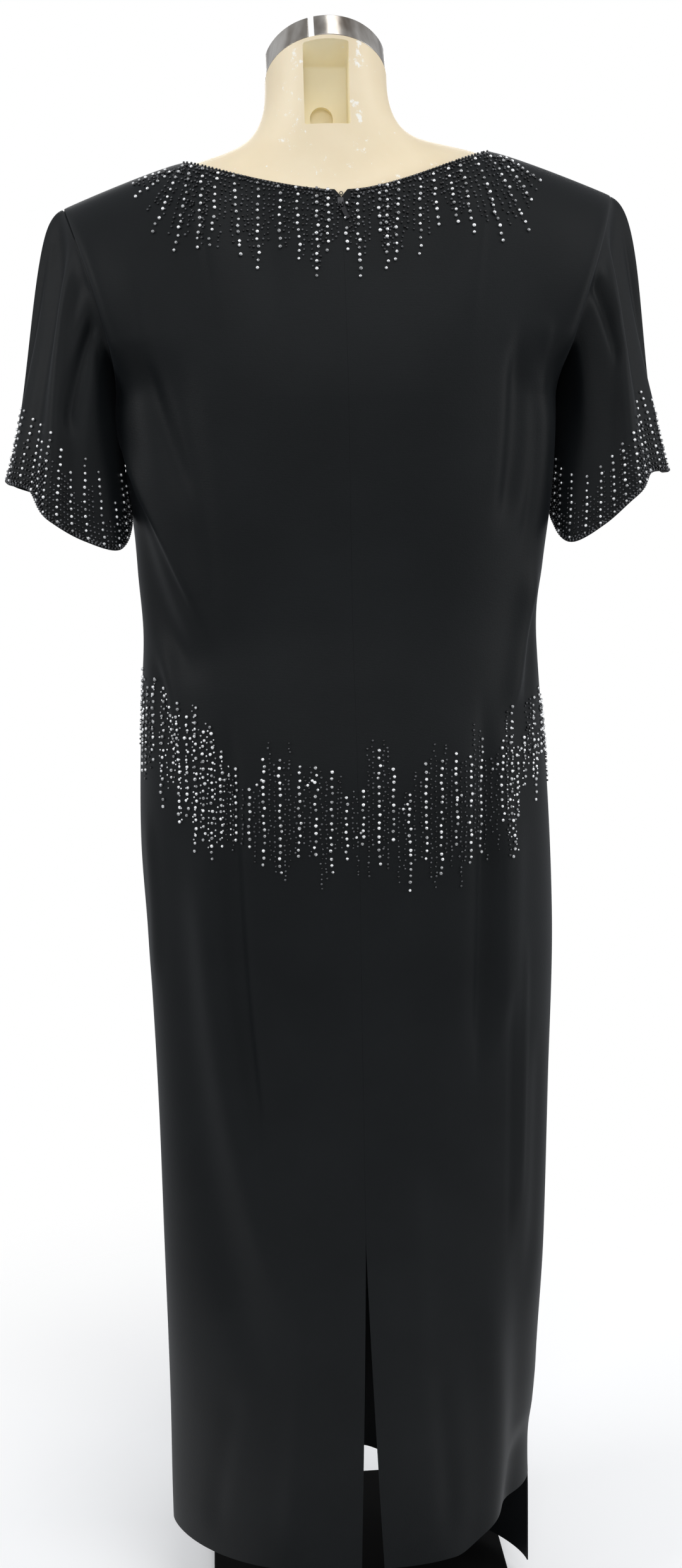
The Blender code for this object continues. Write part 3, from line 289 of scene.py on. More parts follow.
def across_steps(columns, neck_column):
    """Parts of the half width from the centre to the side, one of them at the neck point."""
    neck_turn = math.asin(NECK_PART ** (OVAL / 2.0)) / (math.pi / 2.0)
    inner = neck_turn * np.arange(neck_column + 1) / neck_column
    outer = mix(neck_turn, 1.0, np.arange(1, columns - neck_column + 1) / (columns - neck_column))
    turns = np.concatenate([inner, outer])
    return np.sin(turns * math.pi / 2.0) ** (2.0 / OVAL)


def arm_steps(rows):
    """Heights from the underarm (0) to the shoulder (1), closer together at both ends."""
    even = np.arange(rows + 1) / rows
    return 0.4 * even + 0.6 * (1.0 - np.cos(even * math.pi)) / 2.0


def body_rows():
    slit_up = (SLIT_TOP_Z - UNDERARM_Z) / (UNDERARM_Z - HEM_Z)
    low = mix(-1.0, slit_up, np.arange(SLIT_ROWS) / SLIT_ROWS)
    middle = mix(slit_up, 0.0, np.arange(BODY_ROWS) / BODY_ROWS)
    return np.concatenate([low, middle, arm_steps(ARM_ROWS)])


def plain_point(face, across, up):
    """The body's surface without folds; across runs -1 to 1, up -1 hem, 0 underarm, 1 top."""
    part = np.abs(across)
    centre = BACK_NECK_Z if face == BACK else FRONT_NECK_Z
    in_neck = part < NECK_PART
    neck_top = mix(centre, NECK_Z, np.minimum(part / NECK_PART, 1.0) ** 1.6)
    slope = np.clip((part - NECK_PART) / (1.0 - NECK_PART), 0.0, 1.0)
    top = np.where(in_neck, neck_top, mix(NECK_Z, SHOULDER_Z, slope ** 1.15))
    above = up > 0.0
    rise = np.maximum(up, 0.0)
    tilt = BACK_HEM_LIFT if face == BACK else -FRONT_HEM_DROP
    start, end = HEM_TILT if face == BACK else FRONT_TILT
    tilt = tilt * ease((-across - start) / (end - start))
    low = mix(UNDERARM_Z, HEM_Z, -up)
    low = low + tilt * ease((HEM_TURN_Z - low) / HEM_TURN)
    z = np.where(above, mix(UNDERARM_Z, top, up), low)
    row = between_rows(SECTIONS, np.where(above, UNDERARM_Z, z))
    depth = row.back if face == BACK else row.front
    round_part = (1.0 - np.minimum(part, 1.0) ** OVAL) ** (1.0 / OVAL)
    y = depth * round_part ** (1.0 + HEM_POINTED * ease((HEM_TURN_Z - z) / HEM_TURN))
    if face == FRONT:
        lobe = np.exp(-((part - BUST_PART) / BUST_WIDTH) ** 2)
        y = y + BUST_SWELL * lobe * np.exp(-((z - BUST_Z) / BUST_REACH) ** 2)
    x_low = row.shift + row.half_width * across
    x_low = x_low + RIGHT_HEM_IN * ease((0.260 - z) / 0.130) * ease((-across - 0.45) / 0.50)
    x_high = across * mix(UNDERARM_X, SHOULDER_X, rise ** 1.5)
    neck_y = BACK_NECK_Y if face == BACK else FRONT_NECK_Y
    edge_y = np.where(in_neck, neck_y * np.maximum(1.0 - (part / NECK_PART) ** 2, 0.0) ** 0.62, 0.0)
    lean = rise ** 1.6
    arch = 1.0 - (1.0 - np.minimum(rise, 1.0) ** 2.4) ** 0.5
    turn_in = mix(lean, arch, ease((part - 0.25) / (NECK_PART - 0.25)))
    arm_y = BACK_ARM_Y if face == BACK else FRONT_ARM_Y
    bow = np.maximum(np.sin(math.pi * rise), 0.0) ** 0.6 * ease(rise / 0.30)
    y_high = mix(y, edge_y, turn_in) + arm_y * bow * part ** 8
    x_high = x_high - RIGHT_SHOULDER_OUT * ease(up) * np.clip(-across, 0.0, 1.0)
    z_high = z + RIGHT_SHOULDER_UP * ease(up) * ease(-2.0 * across)
    x = np.where(above, x_high, x_low)
    y = np.where(above, y_high, y)
    z = np.where(above, z_high, z)
    return np.stack(np.broadcast_arrays(x, face * y, z), axis=-1)


def surface_normal(point_at, face, across, up):
    """Outward normals by small steps that stay on the surface, square to the seam planes."""
    step = 0.004
    across, up = np.broadcast_arrays(across, up)
    part = np.abs(across)
    high = np.minimum(across + step, 1.0)
    low = np.maximum(across - step, -1.0)
    on_shoulder = (up > 0.9999) & (part > NECK_PART - 0.0001)
    low = np.where(on_shoulder & (across > 0.0), np.maximum(low, NECK_PART), low)
    high = np.where(on_shoulder & (across < 0.0), np.minimum(high, -NECK_PART), high)
    side = point_at(face, high, up) - point_at(face, low, up)
    upper = point_at(face, across, np.minimum(up + step, 1.0))
    rise = upper - point_at(face, across, np.maximum(up - step, -1.0))
    normal = face * np.cross(rise, side)
    at_side = (part > 0.9999) & (up <= 0.0001)
    normal[..., 1] = np.where(at_side | on_shoulder, 0.0, normal[..., 1])
    normal[..., 0] = np.where(part < 0.0001, 0.0, normal[..., 0])
    return unit(normal)


def fold_height(points, folds):
    """Sum of the folds at points of the plain surface."""
    x, y, z = points[..., 0], points[..., 1], points[..., 2]
    total = np.zeros(x.shape)
    for fold in folds:
        heights = (fold.z_top, fold.z_mid, fold.z_low)
        line_x = 0.0
        for k, place in enumerate((fold.x_top, fold.x_mid, fold.x_low)):
            a, b = heights[:k] + heights[k + 1:]
            weight = (z - a) * (z - b) / ((heights[k] - a) * (heights[k] - b))
            line_x = line_x + place * weight
        lean = (fold.x_top - fold.x_low) / (fold.z_top - fold.z_low)
        away = (x - line_x) / math.sqrt(1.0 + lean * lean)
        if isinstance(fold, Crease):
            width = np.where(away * np.sign(fold.x_mid) > 0.0, fold.outer, fold.inner)
        else:
            width = fold.width
        run = (z - fold.z_low) / (fold.z_top - fold.z_low)
        ends = ease(run / 0.25) * ease((1.0 - run) / 0.25)
        on_face = ease((fold.face * y + 0.030) / 0.040)
        inside = (z > fold.z_low) & (z < fold.z_top)
        bump = fold.height * ends * on_face * np.exp(-(away / width) ** 2)
        total += np.where(inside, bump, 0.0)
    return total


def folded_point(face, across, up, creases=()):
    """The solids' outer face, with their folds."""
    points = plain_point(face, across, up)
    height = fold_height(points, FOLDS) + fold_height(points, creases)
    return points + height[..., None] * surface_normal(plain_point, face, across, up)


def creased_point(face, across, up):
    """The shells' outer face: the solids' one with the finer creases."""
    return folded_point(face, across, up, CREASES)


# ---------------------------------------------------------------- meshes


def add_object(name, data):
    obj = bpy.data.objects.new(name, data)
    bpy.context.scene.collection.objects.link(obj)
    return obj


def mesh_piece(name, points, faces, material):
    """Object from points and faces, on the main body."""
    mesh = bpy.data.meshes.new(name)
    mesh.from_pydata(points.tolist(), [], faces)
    mesh.materials.append(material)
    mesh.shade_smooth()
    obj = add_object(name, mesh)
    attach(obj, BODY)
    return obj


def soften(obj, width, segments):
    """Rounds an object's edges."""
    bevel = obj.modifiers.new("Edges", "BEVEL")
    bevel.width = width
    bevel.segments = segments
    bevel.limit_method = "ANGLE"


def wall(name, outer, inner, closed, material):
    """Cloth shell between two matching grids of points, faces outward."""
    rows, columns = outer.shape[:2]
    count = rows * columns
    around = columns if closed else columns - 1
    faces = []
    for i in range(rows - 1):
        for j in range(around):
            k = (j + 1) % columns
            quad = (i * columns + j, i * columns + k, (i + 1) * columns + k, (i + 1) * columns + j)
            faces.append(quad)
            faces.append(tuple(count + corner for corner in reversed(quad)))
    rims = [(i * columns + j, i * columns + (j + 1) % columns)
            for i in (0, rows - 1) for j in range(around)]
    if not closed:
        rims += [(i * columns + j, (i + 1) * columns + j)
                 for j in (0, columns - 1) for i in range(rows - 1)]
    faces += [(a, b, count + b, count + a) for a, b in rims]
    points = np.concatenate([outer.reshape(-1, 3), inner.reshape(-1, 3)])
    obj = mesh_piece(name, points, faces, material)
    bm = bmesh.new()
    bm.from_mesh(obj.data)
    bmesh.ops.recalc_face_normals(bm, faces=bm.faces)
    bm.to_mesh(obj.data)
    bm.free()
    obj.data.set_sharp_from_angle(angle=math.radians(50.0))
    return obj


def panel_grids(face, across):
    """Outer and inner points of a panel, with its seam edges turned in a little."""
    up = body_rows()[:, None]
    across = across[None, :]
    outer = creased_point(face, across, up)
    normal = surface_normal(folded_point, face, across, up)
    inner = outer - SHELL * normal
    part = np.abs(across)
    at_side = (part > 0.9999) & (up <= 0.0001)
    at_shoulder = (up > 0.9999) & (part > NECK_PART - 0.0001)
    opened = np.where(at_side | at_shoulder, face * SEWN / 2.0, 0.0)
    dip = SEAM_DIP * np.clip((part - DIP_START) / DIP_WIDTH, 0.0, 1.0) * ease(up / 0.04)
    for grid in (outer, inner):
        grid -= dip[..., None] * normal
        grid[..., 1] += opened
    return outer, inner


def centre_gap(up, z, side):
    """Distance of a back panel's centre edge from the centre line."""
    gap = np.full(up.shape, SEWN / 2.0)
    zip_part = np.clip((up - ZIP_OPEN_UP) / (1.0 - ZIP_OPEN_UP), 0.0, 1.0)
    gap = mix(gap, ZIP_GAP, zip_part)
    wide = SLIT_LEFT if side == LEFT else SLIT_RIGHT
    slit_part = np.clip((SLIT_TOP_Z - z) / (SLIT_TOP_Z - HEM_Z), 0.0, 1.0)
    return mix(gap, wide, slit_part ** 1.2)


def build_front(material):
    half = across_steps(HALF_COLUMNS, NECK_COLUMN)
    outer, inner = panel_grids(FRONT, np.concatenate([-half[:0:-1], half]))
    return wall("cloth_front", outer, inner, False, material)


def build_back(name, side, material):
    half = across_steps(HALF_COLUMNS, NECK_COLUMN)
    outer, inner = panel_grids(BACK, side * half)
    gap = centre_gap(body_rows(), outer[:, 0, 2], side)
    shift = (gap * side - outer[:, 0, 0])[:, None] * (1.0 - half[None, :]) ** 2
    outer[..., 0] += shift
    inner[..., 0] += shift
    return wall(name, outer, inner, False, material)


# ---------------------------------------------------------------- sleeves


def armhole(side):
    """Armhole points, normals and outward directions, from the shoulder round the back."""
    steps = arm_steps(ARM_ROWS)
    halves = ((BACK, steps[::-1]), (FRONT, steps[1:-1]))
    points = np.concatenate([folded_point(face, side, up) for face, up in halves])
    normals = np.concatenate([surface_normal(folded_point, face, side, up)
                              for face, up in halves])
    along = np.roll(points, -1, axis=0) - np.roll(points, 1, axis=0)
    return points, normals, unit(np.cross(along, normals) * side)


def sleeve_fold(side, angles, run):
    """Height of the sleeve's folds; angles in degrees."""
    total = np.zeros(np.broadcast(angles, run).shape)
    for fold in SLEEVE_FOLDS:
        if fold.arm != side:
            continue
        middle = mix(fold.cap, fold.hem, ease(run / 0.9))
        away = (angles - middle + 180.0) % 360.0 - 180.0
        part = (run - fold.start) / (fold.end - fold.start)
        ends = ease(part / 0.25) * ease((1.0 - part) / 0.15)
        total += fold.height * ends * np.exp(-(away / fold.width) ** 2)
    return total


def loop_normals(grid, side):
    around = np.roll(grid, -1, axis=1) - np.roll(grid, 1, axis=1)
    along = np.gradient(grid, axis=0)
    return unit(np.cross(along, around) * side)


def sleeve_grid(side):
    """Outer points of a sleeve from the armhole seam to the hem, and its normals."""
    points, edge_normals, outward = armhole(side)
    columns = len(points)
    angle = 2.0 * math.pi * np.arange(columns) / columns
    place = between_rows(SLEEVE_HEM, np.degrees(angle))
    height = place.left_z if side == LEFT else place.right_z
    x = side * (SLEEVE_HEM_X + place.reach * np.cos(angle))
    y = SLEEVE_HEM_Y + place.reach * np.sin(angle)
    end = np.stack([x, y, height], axis=-1)
    start = points + SEWN * outward
    reach = np.linalg.norm(end - start, axis=1)
    puff = LEFT_PUFF if side == LEFT else RIGHT_PUFF
    top = ease(1.0 + np.cos(angle))
    leave = outward * mix(LOW_PUFF, puff, (1.0 + np.cos(angle)) / 2.0)[:, None]
    leave[:, 0] += side * SLEEVE_OUT * mix(0.5, 1.0, top)
    arrive = np.stack([side * mix(LOW_FLARE, TOP_FLARE, top) * np.cos(angle),
                       0.022 * np.sin(angle), -1.15 * reach], axis=-1)
    run = ((np.arange(SLEEVE_RINGS + 1) / SLEEVE_RINGS) ** 1.15)[:, None, None]
    keep_start, push_start, push_end = cubic(run)
    outer = keep_start * start + (1.0 - keep_start) * end + push_start * leave + push_end * arrive
    normals = loop_normals(outer, side)
    run = run[:, :, 0]
    height = sleeve_fold(side, np.degrees(angle)[None, :], run)
    height[0] = 0.0
    outer = outer + height[..., None] * normals
    normals = loop_normals(outer, side)
    normals[0] = edge_normals
    dip = SEAM_DIP * np.clip(1.0 - run / SLEEVE_DIP, 0.0, 1.0)
    outer = outer - dip[..., None] * edge_normals[None, :, :]
    return outer, normals


# ---------------------------------------------------------------- beads

BEAD_SQUASH = 0.85        # a bead's height to its width
BEAD_SINK = 0.25          # part of the radius that is in the cloth
BEAD_WOBBLE = 0.0006

# step along a line, radius, and the least and most of it
BeadKind = namedtuple("BeadKind", "step radius least most")
BRIGHT = BeadKind(0.0062, 0.00165, 0.86, 1.12)
DARK = BeadKind(0.0044, 0.00115, 0.8, 1.2)
SMALL_RADIUS = 0.00095
SMALL_STEP = 0.0054
EDGE_RADIUS = DARK.radius * 1.05


def ball(segments, rings):
    """Points and faces of a small ball of radius 1, squashed along Z."""
    points = [(0.0, 0.0, BEAD_SQUASH)]
    for i in range(1, rings):
        polar = math.pi * i / rings
        flat = math.sin(polar)
        for j in range(segments):
            turn = 2.0 * math.pi * (j + 0.5 * (i % 2)) / segments
            points.append((flat * math.cos(turn), flat * math.sin(turn),
                           BEAD_SQUASH * math.cos(polar)))
    points.append((0.0, 0.0, -BEAD_SQUASH))
    last = len(points) - 1
    faces = [(0, 1 + j, 1 + (j + 1) % segments) for j in range(segments)]
    for low in range(1, 1 + (rings - 2) * segments, segments):
        for j in range(segments):
            k = (j + 1) % segments
            faces.append((low + j, low + segments + j, low + segments + k, low + k))
    low = 1 + (rings - 2) * segments
    faces += [(low + j, last, low + (j + 1) % segments) for j in range(segments)]
    return np.array(points), faces


def bead_piece(name, spots, material, segments=6, rings=4):
    """One mesh of all the beads in spots: (point, normal, radius)."""
    shape, shape_faces = ball(segments, rings)
    centres = np.array([spot[0] for spot in spots])
    normals = unit(np.array([spot[1] for spot in spots]))
    radii = np.array([spot[2] for spot in spots])
    helper = np.where(np.abs(normals[:, 2:3]) > 0.9, [[1.0, 0.0, 0.0]], [[0.0, 0.0, 1.0]])
    first = unit(np.cross(helper, normals))
    second = np.cross(normals, first)
    centres = centres + normals * (radii * (BEAD_SQUASH - BEAD_SINK))[:, None]
    points = shape[None, :, 0:1] * first[:, None, :] + shape[None, :, 1:2] * second[:, None, :]
    points = points + shape[None, :, 2:3] * normals[:, None, :]
    points = centres[:, None, :] + radii[:, None, None] * points
    faces = [tuple(base + corner for corner in face)
             for base in range(0, len(spots) * len(shape), len(shape)) for face in shape_faces]
    return mesh_piece(name, points.reshape(-1, 3), faces, material)


def bead_pair(place, bright, dark):
    """Silver and jet beads of one place."""
    return [bead_piece("beads_silver_" + place, bright, silver),
            bead_piece("beads_jet_" + place, dark, jet, 5, 3)]


# ---------------------------------------------------------------- places on the panels


def find_place(face, x, z):
    """Across and up of the panel points at many x and z."""
    x, z = np.asarray(x, float), np.asarray(z, float)
    across = x / 0.19
    for _ in range(14):
        top = plain_point(face, across, np.ones_like(across))[..., 2]
        up = np.where(z > UNDERARM_Z, (z - UNDERARM_Z) / (top - UNDERARM_Z),
                      (z - UNDERARM_Z) / (UNDERARM_Z - HEM_Z))
        up = np.clip(up, -1.0, 1.0)
        here = plain_point(face, across, up)[..., 0]
        there = plain_point(face, across * 0.98, up)[..., 0]
        width = np.where(np.abs(across) > 0.02, (here - there) / (across * 0.02 + 1e-9), 0.19)
        across = np.clip(across + (x - here) / np.maximum(width, 0.05), -1.0, 1.0)
    return across, up


def spots_on(face, x, z, radius):
    """Beads at x and z of a panel."""
    across, up = find_place(face, x, z)
    points = creased_point(face, across, up)
    normals = surface_normal(creased_point, face, across, up)
    radius = np.broadcast_to(radius, points.shape[:-1])
    inside = np.flatnonzero(np.abs(across) < 0.995)
    return [(points[k], normals[k], radius[k]) for k in inside]


def line_of(start, end, spacing, rng):
    """Points (x, z) along a slightly uneven line of beads."""
    start, end = np.array(start, float), np.array(end, float)
    count = max(int(round(np.linalg.norm(end - start) / spacing)), 1) + 1
    points = start + (end - start) * np.linspace(0.0, 1.0, count)[:, None]
    return points + rng.normal(0.0, BEAD_WOBBLE, points.shape)


# the hip band's bright lines at the back, as the photo shows them
HipLine = namedtuple("HipLine", "x_top x_low z_top z_low")
HIP_BACK = table(
    HipLine,
    (0.1850, 0.1873, 0.966, 0.898),
    (0.1752, 0.1777, 0.960, 0.890),
    (0.1673, 0.1711, 0.953, 0.849),
    (0.1598, 0.1620, 0.937, 0.876),
    (0.1528, 0.1566, 0.942, 0.837),
    (0.1460, 0.1490, 0.930, 0.844),
    (0.1384, 0.1428, 0.938, 0.813),
    (0.1325, 0.1358, 0.917, 0.822),
    (0.1252, 0.1292, 0.922, 0.806),
    (0.1187, 0.1216, 0.901, 0.817),
    (0.1060, 0.1081, 0.887, 0.823),
    (0.0941, 0.0957, 0.868, 0.818),
    (0.0807, 0.0835, 0.894, 0.803),
    (0.0666, 0.0694, 0.893, 0.795),
    (0.0504, 0.0526, 0.888, 0.810),
    (0.0362, 0.0382, 0.887, 0.811),
    (0.0226, 0.0248, 0.883, 0.794),
    (0.0101, 0.0113, 0.861, 0.806),
    (-0.0044, -0.0034, 0.866, 0.819),
    (-0.0192, -0.0169, 0.900, 0.801),
    (-0.0315, -0.0301, 0.884, 0.822),
    (-0.0454, -0.0441, 0.861, 0.776),
    (-0.0601, -0.0586, 0.886, 0.804),
    (-0.0744, -0.0728, 0.888, 0.789),
    (-0.0879, -0.0864, 0.893, 0.813),
    (-0.1014, -0.0999, 0.890, 0.795),
    (-0.1147, -0.1131, 0.905, 0.803),
    (-0.1322, -0.1304, 0.901, 0.830),
    (-0.1417, -0.1377, 0.930, 0.798),
    (-0.1468, -0.1452, 0.892, 0.833),
    (-0.1547, -0.1534, 0.902, 0.860),
    (-0.1675, -0.1642, 0.935, 0.864),
    (-0.1683, -0.1667, 0.891, 0.843),
    (-0.1757, -0.1739, 0.909, 0.884),
)

# rays of the neckline at the back: start and tip
Ray = namedtuple("Ray", "x_top z_top x_tip z_tip")
NECK_BACK = table(
    Ray,
    (0.1487, 1.3990, 0.1768, 1.3885),
    (0.1455, 1.3950, 0.1739, 1.3746),
    (0.1335, 1.4020, 0.1604, 1.3429),
    (0.1256, 1.3990, 0.1422, 1.3258),
    (0.1165, 1.3950, 0.1224, 1.3276),
    (0.1042, 1.3910, 0.1123, 1.3280),
    (0.0909, 1.3870, 0.0871, 1.3205),
    (0.0701, 1.3820, 0.0726, 1.3094),
    (0.0520, 1.3790, 0.0538, 1.3267),
    (0.0376, 1.3765, 0.0378, 1.3161),
    (0.0205, 1.3750, 0.0235, 1.3020),
    (0.0108, 1.3736, 0.0141, 1.3231),
    (-0.0032, 1.3622, -0.0032, 1.3237),
    (-0.0140, 1.3740, -0.0128, 1.3007),
    (-0.0330, 1.3770, -0.0313, 1.3389),
    (-0.0391, 1.3780, -0.0360, 1.3074),
    (-0.0500, 1.3800, -0.0438, 1.3159),
    (-0.0688, 1.3840, -0.0652, 1.3195),
    (-0.0807, 1.3880, -0.0821, 1.3443),
    (-0.0942, 1.3920, -0.0983, 1.3447),
    (-0.1050, 1.3960, -0.1114, 1.3357),
    (-0.1196, 1.4020, -0.1383, 1.3301),
    (-0.1340, 1.4060, -0.1614, 1.3408),
    (-0.1440, 1.4080, -0.1655, 1.3663),
    (-0.1500, 1.4080, -0.1760, 1.3850),
)

HIP_PATCHES = ((0.112, 0.181), (-0.172, -0.134))     # from x to x, filled with small beads
PATCH_STEP = 0.0058
BETWEEN_LINES = 0.0040
FRONT_HALF = 0.186
NECK_RAYS_X, NECK_RAY_STEP = 0.150, 0.0150
SLEEVE_LINE_STEP = 0.0150


def bead_line(kind, face, start, end, rng):
    points = line_of(start, end, kind.step, rng)
    radius = kind.radius * rng.uniform(kind.least, kind.most, len(points))
    return spots_on(face, points[:, 0], points[:, 1], radius)


def hip_back_beads(rng):
    """Bright lines as in the photo, with lines of small dark beads between them."""
    bright, dark = [], []
    for line in HIP_BACK:
        bright += bead_line(BRIGHT, BACK, (line.x_top, line.z_top), (line.x_low, line.z_low), rng)
    for first, second in zip(HIP_BACK, HIP_BACK[1:]):
        count = max(int((first.x_top - second.x_top) / BETWEEN_LINES), 1)
        for k in range(1, count):
            x_top = mix(first.x_top, second.x_top, k / count) + rng.normal(0.0, 0.0005)
            x_low = mix(first.x_low, second.x_low, k / count) + rng.normal(0.0, 0.0005)
            high = max(first.z_top, second.z_top) + rng.uniform(-0.035, 0.016)
            low = min(first.z_low, second.z_low) + rng.uniform(-0.020, 0.030)
            dark += bead_line(DARK, BACK, (x_top, high), (x_low, low), rng)
    places = [-line.x_top for line in HIP_BACK]
    for low_x, high_x in HIP_PATCHES:
        for x in np.arange(low_x, high_x, PATCH_STEP):
            high = np.interp(-x, places, [line.z_top for line in HIP_BACK])
            low = np.interp(-x, places, [line.z_low for line in HIP_BACK])
            high, low = high + rng.uniform(-0.012, 0.006), low + rng.uniform(-0.006, 0.016)
            points = line_of((x, high), (x + 0.002, low), SMALL_STEP, rng)
            bright += spots_on(BACK, points[:, 0], points[:, 1], SMALL_RADIUS)
    for line in HIP_BACK[::3]:
        x = line.x_top + rng.uniform(-0.006, 0.006)
        z = line.z_top - rng.uniform(0.004, 0.040)
        bright += spots_on(BACK, [x, x + 0.004], [z, z - 0.004], BRIGHT.radius * 0.9)
    return bright, dark


def hip_side_beads(face, rng):
    """Lines between the outermost ones of a panel and its side seam."""
    bright, dark = [], []
    for across in (-0.992, -0.979, -0.962, 0.962, 0.979, 0.992):
        top = 0.952 + rng.uniform(-0.012, 0.012) - (0.020 if across < 0.0 else 0.0)
        low = top - rng.uniform(0.050, 0.078)
        for z in np.arange(low, top, BRIGHT.step):
            bright.append((across, z, BRIGHT.radius * rng.uniform(0.86, 1.05)))
        for z in np.arange(low + rng.uniform(-0.02, 0.02), top, DARK.step):
            dark.append((across + 0.004 * np.sign(across), z, DARK.radius))
    groups = []
    for group in (bright, dark):
        across, z, radius = np.array(group).T
        up = (z - UNDERARM_Z) / (UNDERARM_Z - HEM_Z)
        points = creased_point(face, across, up)
        normals = surface_normal(creased_point, face, across, up)
        groups.append(list(zip(points, normals, radius)))
    return groups


def hip_front_beads(rng):
    """The same band over the hidden front: higher at the side seams, lowest in the middle."""
    bright, dark = [], []
    x = -FRONT_HALF
    while x < FRONT_HALF:
        part = abs(x) / 0.19
        top = mix(0.884, 0.945, part ** 3) + rng.uniform(-0.016, 0.014)
        low = mix(0.800, 0.880, part ** 5) + rng.uniform(-0.016, 0.018)
        bright += bead_line(BRIGHT, FRONT, (x, top), (x * 1.01, low), rng)
        step = 0.0153 * math.sqrt(max(1.0 - part ** 2.4, 0.06)) * rng.uniform(0.9, 1.1)
        count = 3 if step > 0.009 else 2
        for k in range(1, count + 1):
            place = x + step * k / (count + 1)
            high = top + rng.uniform(-0.035, 0.020)
            dark += bead_line(DARK, FRONT, (place, high),
                              (place, low + rng.uniform(-0.022, 0.025)), rng)
        x += step
    return bright, dark


def edge_height(face, x):
    """Height of the neckline or shoulder seam at many x."""
    points = plain_point(face, np.linspace(-1.0, 1.0, 801), np.ones(801))
    return np.interp(x, points[:, 0], points[:, 2])


def neck_back_beads(rng):
    """Rays as in the photo, with lines of small dark beads between them."""
    bright, dark = [], []
    for ray in NECK_BACK:
        bright += bead_line(BRIGHT, BACK, (ray.x_top, ray.z_top), (ray.x_tip, ray.z_tip), rng)
    for first, second in zip(NECK_BACK, NECK_BACK[1:]):
        for part in (0.28, 0.52, 0.76):
            x_top, z_top, x_tip, z_tip = (mix(a, b, part) for a, b in zip(first, second))
            z_tip += rng.uniform(0.000, 0.030)
            shown = min(max((z_top - z_tip) / 0.01, 0.0), 1.0)
            dark += bead_line(DARK, BACK, (x_top, z_top), (mix(x_top, x_tip, shown), z_tip), rng)
    return bright, dark


def neck_front_beads(rng):
    """Rays of the hidden front neckline, fanning out from it."""
    bright, dark = [], []
    for x in np.arange(-NECK_RAYS_X, NECK_RAYS_X + 0.0001, NECK_RAY_STEP):
        top = edge_height(FRONT, x) - 0.003
        lean = np.sign(x) * 0.55 * (abs(x) / NECK_RAYS_X) ** 2.2
        length = rng.uniform(0.040, 0.078)
        tip = (x + lean * length, top - length * math.sqrt(1.0 - 0.5 * lean * lean))
        bright += bead_line(BRIGHT, FRONT, (x, top), tip, rng)
        for part in (0.28, 0.54, 0.78):
            place = x + NECK_RAY_STEP * part
            edge = edge_height(FRONT, place) - 0.003
            run = rng.uniform(0.025, 0.070)
            dark += bead_line(DARK, FRONT, (place, edge), (place + lean * run, edge - run), rng)
    return bright, dark


def neck_edge_beads(face, rng):
    """Dense rows of small beads along the neckline."""
    spots = []
    for drop, step in ((0.0022, 0.0030), (0.0052, 0.0034)):
        x = np.arange(-NECK_X + 0.002, NECK_X - 0.001, step)
        x = x[np.abs(x) > ZIP_GAP + 0.001] if face == BACK else x
        x = x + rng.normal(0.0, 0.0003, len(x))
        spots += spots_on(face, x, edge_height(face, x) - drop, EDGE_RADIUS)
    return spots


def sleeve_beads(outer, normals, rng):
    """Lines of beads up from a sleeve's hem, and its dense beaded edge."""
    bright, dark = [], []
    columns = outer.shape[1]
    steps = np.linalg.norm(np.diff(outer, axis=0), axis=2)
    below = np.concatenate([np.cumsum(steps[::-1], axis=0)[::-1], np.zeros((1, columns))])
    hem = outer[-1]
    round_steps = np.linalg.norm(np.roll(hem, -1, axis=0) - hem, axis=1)
    round_at = np.concatenate([[0.0], np.cumsum(round_steps)])
    girth = round_at[-1]

    def spot(around, high, radius):
        column = np.interp(around % girth, round_at, np.arange(columns + 1))
        sides, part = (int(column) % columns, (int(column) + 1) % columns), column % 1.0
        found = []
        for grid in (outer, normals):
            a, b = (np.array([np.interp(high, below[::-1, c], grid[::-1, c, k])
                              for k in range(3)]) for c in sides)
            found.append(mix(a, b, part))
        return (*found, radius)

    line_count = int(girth / SLEEVE_LINE_STEP)
    for k in range(line_count):
        around = girth * k / line_count
        length = 0.056 + 0.016 * math.cos(2.0 * math.pi * k / line_count - 0.9)
        length += rng.uniform(-0.014, 0.012)
        for high in np.arange(0.004, length, BRIGHT.step):
            bright.append(spot(around + rng.normal(0.0, 0.0005), high,
                               BRIGHT.radius * rng.uniform(0.8, 1.05)))
        for part in (0.25, 0.5, 0.75):
            for high in np.arange(0.003, rng.uniform(0.018, 0.055), DARK.step):
                dark.append(spot(around + girth / line_count * part, high,
                                 DARK.radius * rng.uniform(0.8, 1.15)))
    for high, step in ((0.0016, 0.0030), (0.0044, 0.0034)):
        dark += [spot(around, high, EDGE_RADIUS) for around in np.arange(0.0, girth, step)]
    return bright, dark


# ---------------------------------------------------------------- materials

BLACK, WHITE = (0.0, 0.0, 0.0), (1.0, 1.0, 1.0)


def new_material(name):
    material = bpy.data.materials.new(name)
    material.use_nodes = True
    tree = material.node_tree
    return material, tree, tree.nodes["Principled BSDF"]


def feed(tree, node, inputs):
    """Sets a node's inputs: a socket is linked, anything else is the input's own value."""
    for key, value in inputs.items():
        if isinstance(value, bpy.types.NodeSocket):
            tree.links.new(value, node.inputs[key])
        else:
            node.inputs[key].default_value = value
    return node


def add_node(tree, kind, inputs):
    return feed(tree, tree.nodes.new("ShaderNode" + kind), inputs)


def object_coordinates(tree):
    return tree.nodes.new("ShaderNodeTexCoord").outputs["Object"]


def stretched(tree, scale):
    """Object coordinates times a scale."""
    inputs = {"Vector": object_coordinates(tree), "Scale": scale}
    return add_node(tree, "Mapping", inputs).outputs["Vector"]


def add_noise(tree, where, scale, detail=2.0, rough=0.5):
    inputs = {"Vector": where, "Scale": scale, "Detail": detail, "Roughness": rough}
    return add_node(tree, "TexNoise", inputs).outputs["Fac"]


